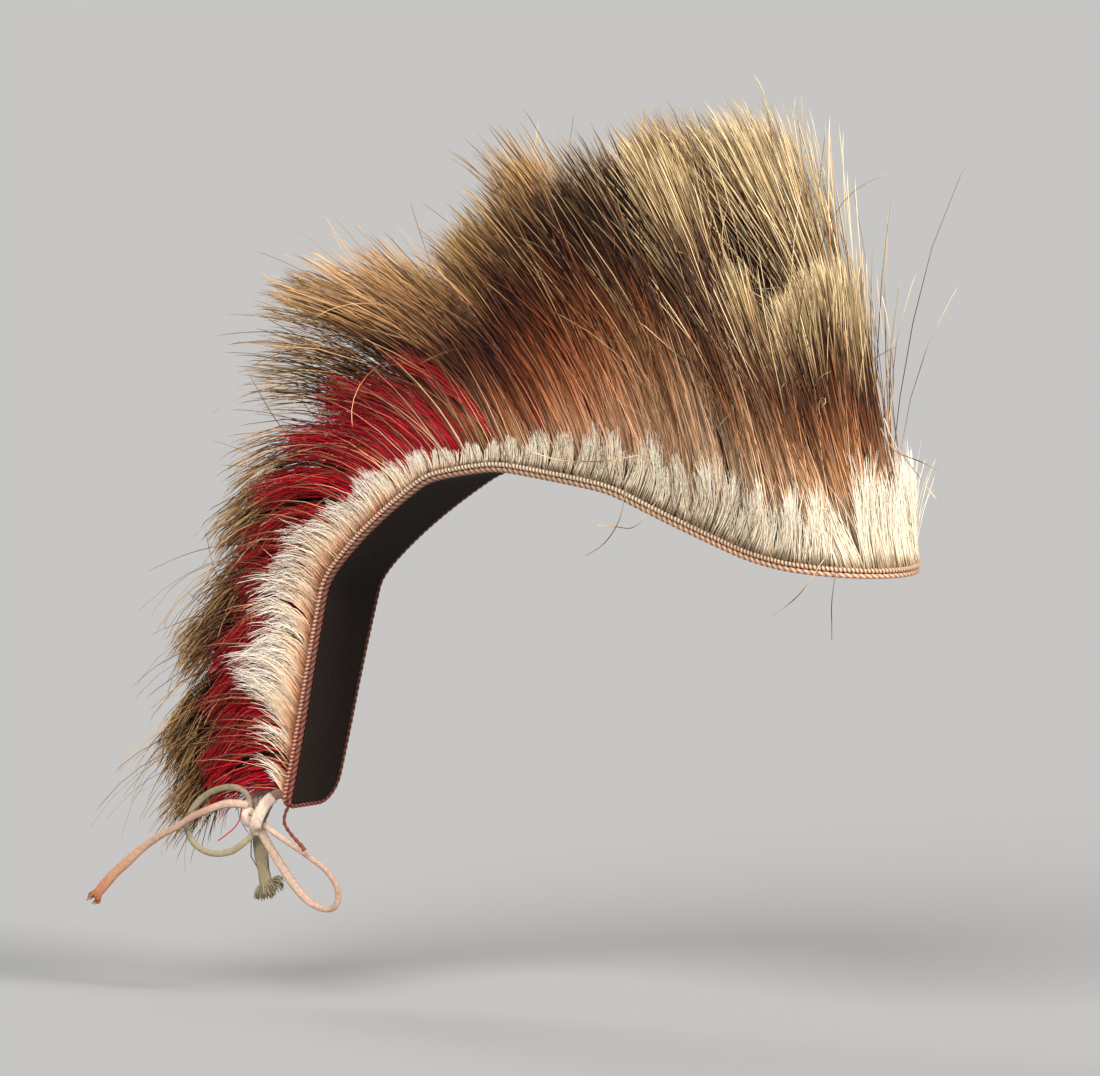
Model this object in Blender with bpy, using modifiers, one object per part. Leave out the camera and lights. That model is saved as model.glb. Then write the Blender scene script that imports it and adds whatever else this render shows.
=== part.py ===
"""Roach headdress: a woven strip with a corded rim, standing rows of hair, and a lace tied at its tail.

Frame: +X is the wearer's front, +Y the wearer's left and +Z up, in metres. The origin is on the
underside of the strip at the crown, where the strip sits on top of the head.
"""
import math
import random
from collections import namedtuple

import bmesh
import bpy
from mathutils import Vector

# Strip: a teardrop with a round front and a narrow tail
BASE_LENGTH = 0.314  # from the front tip to the end of the tail, along the strip
FRONT_RADIUS = 0.031  # of the round front, which is half the greatest width
TAIL_CORNER_RIGHT = 0.004
TAIL_CORNER_LEFT = 0.010
MAT_THICKNESS = 0.003
CAMBER = 0.02  # how steeply the strip falls from its flat channel to its edges
CHANNEL_AT_MOST = 0.6  # the bare channel between the rows, at most this share of the strip's width

# Rim: two cords, one above the other, sewn round the strip's edge
RIM_CORD_RADIUS = 0.00075
GAP = 0.0003  # between pieces that touch on the real object
FRONT_PARTING = 0.0012  # between the right and left half of a row, at the front's middle

# Hair rows, from the rim inwards
DEER_DEPTH = 0.0038  # thickness of a row at its roots
GUARD_DEPTH = 0.0044
RED_DEPTH = 0.0038
DEER_LENGTH = 0.038  # the longest hair of each row
GUARD_LENGTH = 0.158
RED_LENGTH = 0.058
ROOT_LIFT = 0.0009  # the slanted roots of a row start this far above what carries them
TIP_DEPTH_SHARE = 0.22  # a row's thickness at its tips, as a share of that at its roots
LOCK_WIDTH = 0.0155  # of one lock of guard or red hair at its roots
DEER_LOCK_WIDTH = 0.0115
LOCK_BULGE = 0.0011  # how far the middle of a lock stands out from the row
NOTCH_SHARE = 1.0  # depth of the notch between two locks, as a share of a lock's width
LONGEST_NOTCH = 0.35  # and at most this share of the hair's length
LOCK_VARIETY = 0.08  # how much shorter than its row a lock may be, as a share of its length
DEER_FLARE = 7.0  # degrees that a row leans out from the middle plane
OUTER_FLARE = 3.0
INNER_FLARE = 0.5

# Lace at the tail, tied in a bow that hangs on the wearer's right
LACE_RADIUS = 0.0011
STRAP_RADIUS = 0.0014
LACE_END_RADIUS = 0.0013
SHORT_END_RADIUS = 0.0015
BINDING_RADIUS = 0.0006
KNOT_SIZE = (0.0068, 0.0062, 0.0110)
KNOT_RIDGES = 3  # turns of the lace that show as ridges on the knot
KNOT_RIDGE_SHARE = 0.08  # how far a ridge stands out, as a share of the knot's width
KNOT_OFFSET = Vector((-0.0157, -0.0105, -0.0058))  # of the knot, from the middle of the tail's end
MM = 0.001

# The strip's side view and plan. along is a share of BASE_LENGTH from the front tip, rise the slope
# in degrees on the way back, and half_width a share of FRONT_RADIUS
Section = namedtuple("Section", "along rise half_width")
SECTIONS = [
    Section(0.00, 5.5, 1.00),
    Section(0.08, 6.5, 1.00),
    Section(0.12, 11.0, 0.99),
    Section(0.16, 18.5, 0.98),
    Section(0.24, 19.5, 0.96),
    Section(0.30, 21.0, 0.94),
    Section(0.345, 8.0, 0.92),
    Section(0.40, 6.2, 0.89),
    Section(0.445, 5.5, 0.85),
    Section(0.47, 0.0, 0.83),
    Section(0.49, -8.0, 0.81),
    Section(0.55, -13.0, 0.76),
    Section(0.58, -33.0, 0.73),
    Section(0.65, -38.0, 0.66),
    Section(0.72, -46.0, 0.59),
    Section(0.745, -56.0, 0.56),
    Section(0.76, -76.0, 0.545),
    Section(0.88, -78.0, 0.50),
    Section(1.00, -76.0, 0.47),
]

# Hair of one row. left and right are lengths on the wearer's left and right side, as shares of the
# row's longest hair. root and tip are the hair's directions in degrees, from ahead, over the top
Hair = namedtuple("Hair", "along left right root tip")
GUARD_HAIR = [
    Hair(0.00, 0.65, 0.65, 104, 90),
    Hair(0.03, 0.71, 0.62, 100, 101),
    Hair(0.06, 0.84, 0.60, 96, 116),
    Hair(0.10, 1.00, 0.62, 94, 122),
    Hair(0.12, 0.99, 0.77, 93, 123),
    Hair(0.146, 0.96, 0.94, 92, 125),
    Hair(0.22, 0.90, 0.90, 91, 129),
    Hair(0.30, 0.80, 0.80, 97, 136),
    Hair(0.37, 0.72, 0.72, 105, 145),
    Hair(0.43, 0.67, 0.67, 111, 155),
    Hair(0.49, 0.61, 0.61, 115, 167),
    Hair(0.56, 0.56, 0.56, 122, 180),
    Hair(0.62, 0.51, 0.51, 128, 196),
    Hair(0.68, 0.47, 0.47, 132, 210),
    Hair(0.75, 0.43, 0.43, 138, 221),
    Hair(0.83, 0.39, 0.39, 150, 230),
    Hair(0.91, 0.38, 0.38, 158, 235),
    Hair(1.00, 0.37, 0.37, 166, 238),
]
DEER_HAIR = [
    Hair(0.00, 1.00, 1.00, 99, 96),
    Hair(0.06, 0.88, 0.88, 94, 94),
    Hair(0.13, 0.80, 0.80, 92, 96),
    Hair(0.22, 0.68, 0.68, 93, 105),
    Hair(0.32, 0.54, 0.54, 100, 114),
    Hair(0.41, 0.40, 0.40, 108, 122),
    Hair(0.48, 0.34, 0.34, 110, 126),
    Hair(0.56, 0.30, 0.30, 111, 130),
    Hair(0.62, 0.38, 0.38, 111, 134),
    Hair(0.68, 0.50, 0.50, 112, 142),
    Hair(0.75, 0.70, 0.70, 116, 172),
    Hair(0.81, 0.88, 0.88, 128, 210),
    Hair(0.89, 0.88, 0.88, 132, 215),
    Hair(0.94, 0.60, 0.60, 140, 216),
    Hair(1.00, 0.30, 0.30, 152, 218),
]
RED_HAIR = [
    Hair(0.10, 0.70, 0.70, 93, 115),
    Hair(0.24, 0.88, 0.88, 94, 125),
    Hair(0.33, 0.96, 0.96, 102, 138),
    Hair(0.43, 1.00, 1.00, 110, 150),
    Hair(0.49, 1.00, 1.00, 114, 165),
    Hair(0.56, 1.00, 1.00, 122, 182),
    Hair(0.62, 0.97, 0.97, 128, 196),
    Hair(0.68, 0.93, 0.93, 133, 210),
    Hair(0.75, 0.86, 0.86, 140, 221),
    Hair(0.83, 0.79, 0.79, 152, 229),
    Hair(0.91, 0.76, 0.76, 160, 233),
    Hair(1.00, 0.72, 0.72, 168, 236),
]
ROWS_END = 0.955  # the rows stop short of the tail's end, as a share along the strip
RED_FRONT = (0.15, 0.465)  # the red hair is the inner row here
RED_TAIL = (0.565, 0.955)  # and the outer one here, where the guard hair moves inwards
GUARD_TURNS_IN = (0.48, 0.55)

# Routes of the lace, in millimetres from the knot's middle
LOOP_BACK_ROUTE = [
    (-3.6, -1.6, 4.2), (-4.6, -2.0, 8.6), (-7.9, -2.7, 12.0), (-14.7, -4.0, 10.0),
    (-19.7, -5.5, 5.5), (-23.2, -6.0, -2.0), (-20.7, -5.5, -8.5), (-14.7, -4.0, -12.0),
    (-7.7, -2.3, -10.5), (-3.6, -1.1, -7.4), (-1.9, -0.6, -5.6),
]
LOOP_FRONT_ROUTE = [
    (1.5, 1.0, -5.2), (3.2, 2.4, -9.0), (7.5, 4.0, -13.0), (11.8, 5.0, -18.5),
    (16.3, 6.0, -24.0), (21.3, 6.5, -28.0), (25.3, 7.0, -29.5), (29.8, 7.0, -27.5),
    (30.8, 7.0, -23.0), (29.3, 6.0, -16.5), (24.3, 4.5, -11.5), (19.3, 3.0, -8.5),
    (12.8, 1.5, -5.0), (7.0, 0.5, -2.6), (3.8, 0.1, -1.7),
]
END_LONG_ROUTE = [
    (-3.0, -2.5, 1.2), (-7.8, -6.5, 2.6), (-14.2, -9.0, 1.5), (-20.7, -11.0, -1.0),
    (-28.7, -12.5, -6.0), (-36.7, -14.0, -12.0), (-44.7, -15.5, -18.5), (-53.2, -17.5, -26.5),
]
END_SHORT_ROUTE = [
    (1.5, 5.2, 5.5), (0.6, 5.4, 1.0), (-0.6, 5.0, -4.0), (-1.3, 4.1, -8.0), (-0.6, 3.0, -12.0),
    (1.0, 2.2, -16.0), (3.0, 1.8, -20.0), (4.4, 1.7, -23.5), (5.3, 1.7, -26.5),
]
STRAP_RIGHT_ROUTE = [
    (13.1, 1.2, 9.3), (9.0, 1.1, 9.8), (5.6, 0.8, 9.4), (3.2, 0.5, 7.8), (1.9, 0.3, 5.6),
]
STRAP_LEFT_ROUTE = [
    (13.2, 4.8, 10.2), (8.0, 4.8, 11.8), (3.0, 4.0, 12.8), (-0.4, 2.4, 12.0), (-1.6, 1.1, 9.4),
    (-1.2, 0.4, 6.2),
]
BINDING_END_ROUTE = [
    (15.1, -1.9, 6.0), (14.9, -2.6, 3.2), (14.9, -2.6, 0.5), (17.3, -1.8, -3.5), (20.3, -1.0, -7.5),
]

# How far inside the rim the middle of each layer of hair lies
DEER_INSET = DEER_DEPTH / 2
OUTER_INSET = DEER_DEPTH + GAP + max(GUARD_DEPTH, RED_DEPTH) / 2
INNER_INSET = OUTER_INSET + (GUARD_DEPTH + RED_DEPTH) / 2 + GAP
RIM_TOP = 4 * RIM_CORD_RADIUS + GAP

HALF_TURN = math.pi
LINE_STEP = 0.001  # of the sums along the strip
ARC_STEPS = 6  # chords on a quarter of the round front
CORNER_STEPS = 4  # chords on a corner of the tail
SIDE_STEP = 0.0095  # between the sections of the strip's sides
HAIR_STEPS = 5  # faces along a hair row's length
DEER_HAIR_STEPS = 3
ROUTE_STEPS = 12  # points on a lace's curve between two points of its route

for old in list(bpy.data.objects):
    bpy.data.objects.remove(old, do_unlink=True)
headdress = bpy.data.collections.new("roach_headdress")
bpy.context.scene.collection.children.link(headdress)


def between(low, high, share):
    return low + (high - low) * share


def table_at(table, along):
    """The table's row at this share along the strip, between its two nearest rows."""
    if along <= table[0].along:
        return table[0]
    for low, high in zip(table, table[1:]):
        if along <= high.along:
            share = (along - low.along) / (high.along - low.along)
            return type(low)(*(between(a, b, share) for a, b in zip(low, high)))
    return table[-1]


def strip_line():
    """The strip's underside in the middle plane, as (x, z, rise) at each LINE_STEP from the tip."""
    line = [(0.0, 0.0, math.radians(SECTIONS[0].rise))]
    for step in range(round(BASE_LENGTH / LINE_STEP) + 1):
        x, z, _ = line[-1]
        rise = math.radians(table_at(SECTIONS, (step + 0.5) * LINE_STEP / BASE_LENGTH).rise)
        line.append((x - math.cos(rise) * LINE_STEP, z + math.sin(rise) * LINE_STEP, rise))
    crown_x, crown_z, _ = max(line, key=lambda point: point[1])
    return [(x - crown_x, z - crown_z, rise) for x, z, rise in line]


STRIP_LINE = strip_line()


def on_strip(s, y, up):
    """The point s from the front tip along the strip, y to the left and up above the underside."""
    place = min(max(s / LINE_STEP, 0.0), len(STRIP_LINE) - 1.001)
    first = int(place)
    x, z, rise = (
        between(a, b, place - first) for a, b in zip(STRIP_LINE[first], STRIP_LINE[first + 1])
    )
    return Vector((x + up * math.sin(rise), y, z + up * math.cos(rise)))


def half_width(s):
    return FRONT_RADIUS * table_at(SECTIONS, s / BASE_LENGTH).half_width


def reach(s, side, inset):
    """How far an outline that lies inset inside the rim reaches from the middle at s."""
    if s < FRONT_RADIUS:
        across = (FRONT_RADIUS - inset) ** 2 - (FRONT_RADIUS - s) ** 2
        return math.sqrt(max(across, 0.0))
    corner = max((TAIL_CORNER_LEFT if side > 0 else TAIL_CORNER_RIGHT) - inset, 0.0)
    into_corner = s - (BASE_LENGTH - inset - corner)
    if into_corner <= 0:
        return half_width(s) - inset
    across = math.sqrt(max(corner**2 - into_corner**2, 0.0))
    return half_width(s) - inset - corner + across


def outline_stations(inset):
    """Distances from the front tip at which an outline needs a point."""
    radius = FRONT_RADIUS - inset
    quarter = HALF_TURN / 2
    front = [
        FRONT_RADIUS - radius * math.cos(quarter * step / ARC_STEPS) for step in range(ARC_STEPS)
    ]
    end = BASE_LENGTH - inset
    corners = {max(corner - inset, 0.0) for corner in (TAIL_CORNER_LEFT, TAIL_CORNER_RIGHT)}
    start = end - max(corners)
    count = max(round((start - FRONT_RADIUS) / SIDE_STEP), 1)
    sides = [between(FRONT_RADIUS, start, step / count) for step in range(count)]
    tail = {
        round(end - corner * (1 - math.sin(quarter * step / CORNER_STEPS)), 6)
        for corner in corners
        for step in range(CORNER_STEPS + 1)
    }
    return front + sides + sorted(tail)


def material(name, colour, roughness):
    made = bpy.data.materials.new(name)
    made.use_nodes = True
    shader = made.node_tree.nodes["Principled BSDF"]
    shader.inputs["Base Color"].default_value = (*colour, 1.0)
    shader.inputs["Roughness"].default_value = roughness
    shader.inputs["Metallic"].default_value = 0.0
    return made


woven_hair = material("woven_hair", (0.020, 0.014, 0.011), 0.9)
rim_cord = material("rim_cord", (0.50, 0.26, 0.16), 0.8)
deer_hair = material("deer_hair", (0.80, 0.71, 0.60), 0.7)
guard_hair = material("guard_hair", (0.36, 0.23, 0.12), 0.55)
red_hair = material("red_hair", (0.36, 0.010, 0.014), 0.6)
buckskin = material("buckskin", (0.62, 0.44, 0.36), 0.85)
rust_cord = material("rust_cord", (0.42, 0.09, 0.03), 0.8)


def add_object(name, data, finish):
    made = bpy.data.objects.new(name, data)
    data.materials.append(finish)
    headdress.objects.link(made)
    return made


def grid_surface(name, columns, rows, place, finish):
    """An open sheet of columns by rows faces, whose corners lie at place(column, row)."""
    mesh = bpy.data.meshes.new(name)
    sheet = bmesh.new()
    bmesh.ops.create_grid(sheet, x_segments=columns, y_segments=rows, size=0.5)
    for corner in sheet.verts:
        column = round((corner.co.x + 0.5) * columns)
        row = round((corner.co.y + 0.5) * rows)
        corner.co = place(column, row)
    sheet.to_mesh(mesh)
    sheet.free()
    mesh.shade_smooth()
    return add_object(name, mesh, finish)


def base_mat():
    """The woven strip, inside the rim cords, with a flat channel between the rows of hair."""
    inset = 2 * RIM_CORD_RADIUS + GAP
    stations = outline_stations(inset)[1:]

    def place(column, row):
        s = stations[column]
        side = -1 if row < 2 else 1
        edge = reach(s, side, inset)
        channel = min(half_width(s) - INNER_INSET - GUARD_DEPTH / 2 - GAP, CHANNEL_AT_MOST * edge)
        if row in (1, 2):
            return on_strip(s, side * channel, 0.0)
        return on_strip(s, side * edge, -CAMBER * (edge - channel))

    mat = grid_surface("base_mat", len(stations) - 1, 3, place, woven_hair)
    wall = mat.modifiers.new("wall", "SOLIDIFY")
    wall.thickness = MAT_THICKNESS
    wall.offset = -1.0


def tube(name, points, radius, finish, closed=False):
    """A round tube through the points, with filled caps if it is open."""
    curve = bpy.data.curves.new(name, "CURVE")
    curve.dimensions = "3D"
    curve.bevel_depth = radius
    curve.bevel_resolution = 2
    curve.use_fill_caps = not closed
    spline = curve.splines.new("POLY")
    spline.points.add(len(points) - 1)
    for knot, point in zip(spline.points, points):
        knot.co = (*point, 1.0)
    spline.use_cyclic_u = closed
    spline.use_smooth = True
    return add_object(name, curve, finish)


def rim_cord_loop(name, up):
    """One cord round the whole strip: up the right side, round the front and down the left side."""
    inset = RIM_CORD_RADIUS
    stations = outline_stations(inset)
    right = [on_strip(s, -reach(s, -1, inset), up) for s in reversed(stations)]
    left = [on_strip(s, reach(s, 1, inset), up) for s in stations[1:]]
    tube(name, right + left, RIM_CORD_RADIUS, rim_cord, closed=True)


def strand(root, hair, length, flare, outward, steps):
    """Points along one hair, which bends evenly from its root's direction to its tip's."""
    points = [root.copy()]
    for step in range(steps):
        angle = math.radians(between(hair.root, hair.tip, (step + 0.5) / steps))
        lean = math.radians(flare) * outward
        way = Vector((math.cos(angle) * math.cos(lean), math.sin(lean), math.sin(angle)))
        points.append(points[-1] + way * (length / steps))
    return points


Root = namedtuple("Root", "along s y ahead outward")


def half_row_length(inset):
    """Along one side from where the rows end to the front's middle."""
    quarter_arc = HALF_TURN / 2 * (FRONT_RADIUS - inset)
    return ROWS_END * BASE_LENGTH - FRONT_RADIUS + quarter_arc - FRONT_PARTING / 2


def root_round_front(share, layer_inset, outward):
    """A root on a half row that runs up one side and round to the front's middle."""
    side = ROWS_END * BASE_LENGTH - FRONT_RADIUS
    distance = share * half_row_length(layer_inset(0.0))
    if distance > side:
        arc_radius = FRONT_RADIUS - layer_inset(0.0)
        turn = (distance - side) / arc_radius
        s = FRONT_RADIUS - arc_radius * math.sin(turn)
        along = FRONT_RADIUS * (1 - math.sin(turn)) / BASE_LENGTH
        across = outward * math.cos(turn)
        return Root(along, s, across * arc_radius, math.sin(turn), across)
    s = FRONT_RADIUS + side - distance
    y = outward * (half_width(s) - layer_inset(s / BASE_LENGTH))
    return Root(s / BASE_LENGTH, s, y, 0.0, outward)


def root_on_side(share, layer_inset, span, outward):
    """A root on a row that runs along one side only."""
    along = between(span[0], span[1], share)
    s = along * BASE_LENGTH
    return Root(along, s, outward * (half_width(s) - layer_inset(along)), 0.0, outward)


def fringe(name, root_at, row_length, table, longest, depth, flare, lock_width, steps, lift, finish):
    """A row of hair as a sheet whose free edge is cut into locks, thick at its roots."""
    locks = max(round(row_length / lock_width), 2)
    columns = 2 * locks
    chance = random.Random(name)
    strands = []
    for column in range(columns + 1):
        root = root_at(column / columns)
        hair = table_at(table, root.along)
        ridge = column % 2 == 1
        full = longest * (hair.left if root.y > 0 else hair.right)
        length = full * (1 - chance.uniform(0.0, LOCK_VARIETY))
        if not ridge:
            length -= min(NOTCH_SHARE * lock_width, LONGEST_NOTCH * full)
        points = strand(
            on_strip(root.s, root.y, lift), hair, length, flare(root.along), root.outward, steps
        )
        out = Vector((root.ahead, root.outward, 0.0)) * (LOCK_BULGE if ridge else 0.0)
        strands.append(
            [p + out * math.sin(HALF_TURN * row / steps) for row, p in enumerate(points)]
        )
    made = grid_surface(name, columns, steps, lambda column, row: strands[column][row], finish)
    group = made.vertex_groups.new(name="depth")
    for row in range(steps + 1):
        in_row = [row * (columns + 1) + column for column in range(columns + 1)]
        group.add(in_row, between(1.0, TIP_DEPTH_SHARE, row / steps), "REPLACE")
    wall = made.modifiers.new("wall", "SOLIDIFY")
    wall.thickness = depth
    wall.offset = 0.0
    wall.vertex_group = group.name
    return made


def guard_layer(along):
    """0 where the guard hair is the outer layer and 1 where it is the inner one."""
    first, last = GUARD_TURNS_IN
    return min(max((along - first) / (last - first), 0.0), 1.0)


def guard_inset(along):
    return between(OUTER_INSET, INNER_INSET, guard_layer(along))


def guard_flare(along):
    return between(OUTER_FLARE, INNER_FLARE, guard_layer(along))


def deer_hair_fringe(name, outward):
    """The short pale row that stands on the rim, on one side up to the front's middle."""
    fringe(
        name,
        lambda share: root_round_front(share, lambda along: DEER_INSET, outward),
        half_row_length(DEER_INSET),
        DEER_HAIR, DEER_LENGTH, DEER_DEPTH, lambda along: DEER_FLARE,
        DEER_LOCK_WIDTH, DEER_HAIR_STEPS, RIM_TOP + ROOT_LIFT, deer_hair,
    )


def guard_hair_fringe(name, outward):
    """The long row, outermost but for the short one from the front to the crown."""
    fringe(
        name,
        lambda share: root_round_front(share, guard_inset, outward),
        half_row_length(OUTER_INSET),
        GUARD_HAIR, GUARD_LENGTH, GUARD_DEPTH, guard_flare,
        LOCK_WIDTH, HAIR_STEPS, MAT_THICKNESS + ROOT_LIFT, guard_hair,
    )


def red_hair_fringe(name, span, inset, flare, outward):
    """A dyed row of middle length along one side."""
    fringe(
        name,
        lambda share: root_on_side(share, lambda along: inset, span, outward),
        (span[1] - span[0]) * BASE_LENGTH,
        RED_HAIR, RED_LENGTH, RED_DEPTH, lambda along: flare,
        LOCK_WIDTH, HAIR_STEPS, MAT_THICKNESS + ROOT_LIFT, red_hair,
    )


def knot_middle():
    return on_strip(BASE_LENGTH, 0.0, 0.0) + KNOT_OFFSET


def tie_knot():
    """The knot of the bow, an upright bead with the ridges of the turns round it."""
    mesh = bpy.data.meshes.new("tie_knot")
    bead = bmesh.new()
    bmesh.ops.create_uvsphere(bead, u_segments=14, v_segments=10, radius=0.5)
    for corner in bead.verts:
        upright = math.asin(max(-1.0, min(1.0, 2 * corner.co.z)))
        swell = 1 + KNOT_RIDGE_SHARE * math.cos(2 * KNOT_RIDGES * upright)
        across, deep, tall = KNOT_SIZE
        corner.co = Vector(
            (corner.co.x * across * swell, corner.co.y * deep * swell, corner.co.z * tall)
        )
    bead.to_mesh(mesh)
    bead.free()
    mesh.shade_smooth()
    add_object("tie_knot", mesh, buckskin).location = knot_middle()


def smooth_route(route, spacing):
    """Points at about this spacing on a smooth curve through a route's points."""
    origin = knot_middle()
    given = [origin + Vector(point) * MM for point in route]
    padded = [2 * given[0] - given[1], *given, 2 * given[-1] - given[-2]]
    fine = []
    for a, b, c, d in zip(padded, padded[1:], padded[2:], padded[3:]):
        for step in range(ROUTE_STEPS):
            t = step / ROUTE_STEPS
            fine.append(
                0.5 * (2 * b + (c - a) * t + (2 * a - 5 * b + 4 * c - d) * t**2
                       + (3 * b - a - 3 * c + d) * t**3)
            )
    fine.append(given[-1])
    travelled = [0.0]
    for a, b in zip(fine, fine[1:]):
        travelled.append(travelled[-1] + (b - a).length)
    count = max(round(travelled[-1] / spacing), 2)
    points, at = [], 0
    for index in range(count + 1):
        wanted = travelled[-1] * index / count
        while at < len(fine) - 2 and travelled[at + 1] < wanted:
            at += 1
        share = (wanted - travelled[at]) / (travelled[at + 1] - travelled[at])
        points.append(fine[at].lerp(fine[at + 1], share))
    return points


def lace(name, route, radius, finish):
    """A lace with a point every two diameters."""
    tube(name, smooth_route(route, 4 * radius), radius, finish)


base_mat()
rim_cord_loop("rim_cord_lower", RIM_CORD_RADIUS)
rim_cord_loop("rim_cord_upper", 3 * RIM_CORD_RADIUS + GAP)
for side_name, side in (("right", -1.0), ("left", 1.0)):
    deer_hair_fringe(f"deer_hair_{side_name}", side)
    guard_hair_fringe(f"guard_hair_{side_name}", side)
    red_hair_fringe(f"red_hair_front_{side_name}", RED_FRONT, INNER_INSET, INNER_FLARE, side)
    red_hair_fringe(f"red_hair_tail_{side_name}", RED_TAIL, OUTER_INSET, OUTER_FLARE, side)
tie_knot()
lace("tie_strap_right", STRAP_RIGHT_ROUTE, STRAP_RADIUS, buckskin)
lace("tie_strap_left", STRAP_LEFT_ROUTE, STRAP_RADIUS, buckskin)
lace("bow_loop_back", LOOP_BACK_ROUTE, LACE_RADIUS, buckskin)
lace("bow_loop_front", LOOP_FRONT_ROUTE, LACE_RADIUS, buckskin)
lace("lace_end_long", END_LONG_ROUTE, LACE_END_RADIUS, buckskin)
lace("lace_end_short", END_SHORT_ROUTE, SHORT_END_RADIUS, buckskin)
lace("binding_cord_end", BINDING_END_ROUTE, BINDING_RADIUS, rust_cord)
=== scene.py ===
"""Roach headdress: hair strand by strand, twisted rim cords, a coiled mat and a buckskin lace.

Frame: +X is the wearer's front, +Y the wearer's left and +Z up, in metres. The origin is on the
underside of the strip at the crown.
"""
import math
from collections import namedtuple

import bpy
import numpy as np
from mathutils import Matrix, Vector


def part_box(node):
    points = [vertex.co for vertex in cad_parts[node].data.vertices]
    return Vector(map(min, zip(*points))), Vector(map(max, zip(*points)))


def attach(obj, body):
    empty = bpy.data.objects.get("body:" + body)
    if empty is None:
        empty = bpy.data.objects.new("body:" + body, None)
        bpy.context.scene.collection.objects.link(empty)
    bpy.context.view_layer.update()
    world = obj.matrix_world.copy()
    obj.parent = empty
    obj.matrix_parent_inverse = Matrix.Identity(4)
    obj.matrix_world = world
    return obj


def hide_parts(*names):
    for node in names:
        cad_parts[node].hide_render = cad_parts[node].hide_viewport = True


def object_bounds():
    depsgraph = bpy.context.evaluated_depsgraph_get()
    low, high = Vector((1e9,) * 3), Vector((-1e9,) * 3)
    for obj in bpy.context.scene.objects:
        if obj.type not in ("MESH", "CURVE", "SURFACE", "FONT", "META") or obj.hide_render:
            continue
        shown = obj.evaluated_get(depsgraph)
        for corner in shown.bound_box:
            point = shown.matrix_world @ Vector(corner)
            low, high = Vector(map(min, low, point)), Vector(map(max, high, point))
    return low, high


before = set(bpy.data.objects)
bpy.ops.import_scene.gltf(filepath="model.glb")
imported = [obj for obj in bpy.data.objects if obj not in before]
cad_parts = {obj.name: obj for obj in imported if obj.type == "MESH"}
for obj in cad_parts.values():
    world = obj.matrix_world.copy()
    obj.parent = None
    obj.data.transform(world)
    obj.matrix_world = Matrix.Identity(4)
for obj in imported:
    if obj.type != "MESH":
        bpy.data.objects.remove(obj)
CAD_BOX = [list(corner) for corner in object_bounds()]

MM = 0.001
QUARTER_TURN = math.pi / 2
FULL_TURN = 2 * math.pi
TINY = 1e-12

# The strip and its rows of hair, as built
BASE_LENGTH = 0.314
FRONT_RADIUS = 0.031
TAIL_CORNER_RIGHT = 0.004
TAIL_CORNER_LEFT = 0.01
MAT_THICKNESS = 0.003
RIM_CORD_RADIUS = 0.00075
GAP = 0.0003
DEER_DEPTH = 0.0038
GUARD_DEPTH = 0.0044
RED_DEPTH = 0.0038
DEER_LENGTH = 0.038
GUARD_LENGTH = 0.158
RED_LENGTH = 0.058
DEER_INSET = DEER_DEPTH / 2
OUTER_INSET = DEER_DEPTH + GAP + max(GUARD_DEPTH, RED_DEPTH) / 2
INNER_INSET = OUTER_INSET + (GUARD_DEPTH + RED_DEPTH) / 2 + GAP
RIM_TOP = 4 * RIM_CORD_RADIUS + GAP
LINE_STEP = 0.001  # of the strip's bent line

# along is a share of BASE_LENGTH from the front tip, rise the slope in degrees on the way back, and
# half_width a share of FRONT_RADIUS
Section = namedtuple("Section", "along rise half_width")
SECTIONS = [Section(*row) for row in (
    (0.0, 5.5, 1.0), (0.08, 6.5, 1.0), (0.12, 11.0, 0.99), (0.16, 18.5, 0.98), (0.24, 19.5, 0.96),
    (0.3, 21.0, 0.94), (0.345, 8.0, 0.92), (0.4, 6.2, 0.89), (0.445, 5.5, 0.85), (0.47, 0.0, 0.83),
    (0.49, -8.0, 0.81), (0.55, -13.0, 0.76), (0.58, -33.0, 0.73), (0.65, -38.0, 0.66),
    (0.72, -46.0, 0.59), (0.745, -56.0, 0.56), (0.76, -76.0, 0.545), (0.88, -78.0, 0.5),
    (1.0, -76.0, 0.47),
)]

# left and right are lengths on the wearer's left and right, as shares of the row's longest hair.
# root and tip are directions in degrees, from ahead, over the top
Hair = namedtuple("Hair", "along left right root tip")
GUARD_HAIR = [Hair(*row) for row in (
    (0.0, 0.62, 0.62, 109, 105), (0.03, 0.71, 0.61, 108, 115), (0.055, 0.82, 0.62, 105, 122),
    (0.08, 0.92, 0.79, 99, 125), (0.1, 0.99, 0.86, 96, 126), (0.146, 0.97, 0.9, 92, 126),
    (0.18, 0.91, 0.87, 91, 127), (0.22, 0.88, 0.81, 91, 128), (0.26, 0.84, 0.77, 93, 131),
    (0.3, 0.69, 0.72, 97, 134), (0.34, 0.66, 0.66, 101, 137), (0.37, 0.76, 0.62, 103, 140),
    (0.4, 0.81, 0.6, 104, 142), (0.42, 0.71, 0.58, 106, 147), (0.44, 0.67, 0.63, 109, 154),
    (0.49, 0.66, 0.67, 113, 164), (0.53, 0.6, 0.63, 118, 174), (0.56, 0.52, 0.56, 123, 184),
    (0.6, 0.5, 0.5, 130, 208), (0.64, 0.47, 0.47, 134, 230), (0.7, 0.43, 0.43, 137, 242),
    (0.76, 0.42, 0.42, 141, 246), (0.83, 0.43, 0.43, 148, 248), (0.9, 0.47, 0.47, 154, 250),
    (0.95, 0.48, 0.48, 158, 250), (1.0, 0.38, 0.38, 168, 226),
)]


def same_both_sides(*rows):
    return [Hair(along, length, length, root, tip) for along, length, root, tip in rows]


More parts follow.
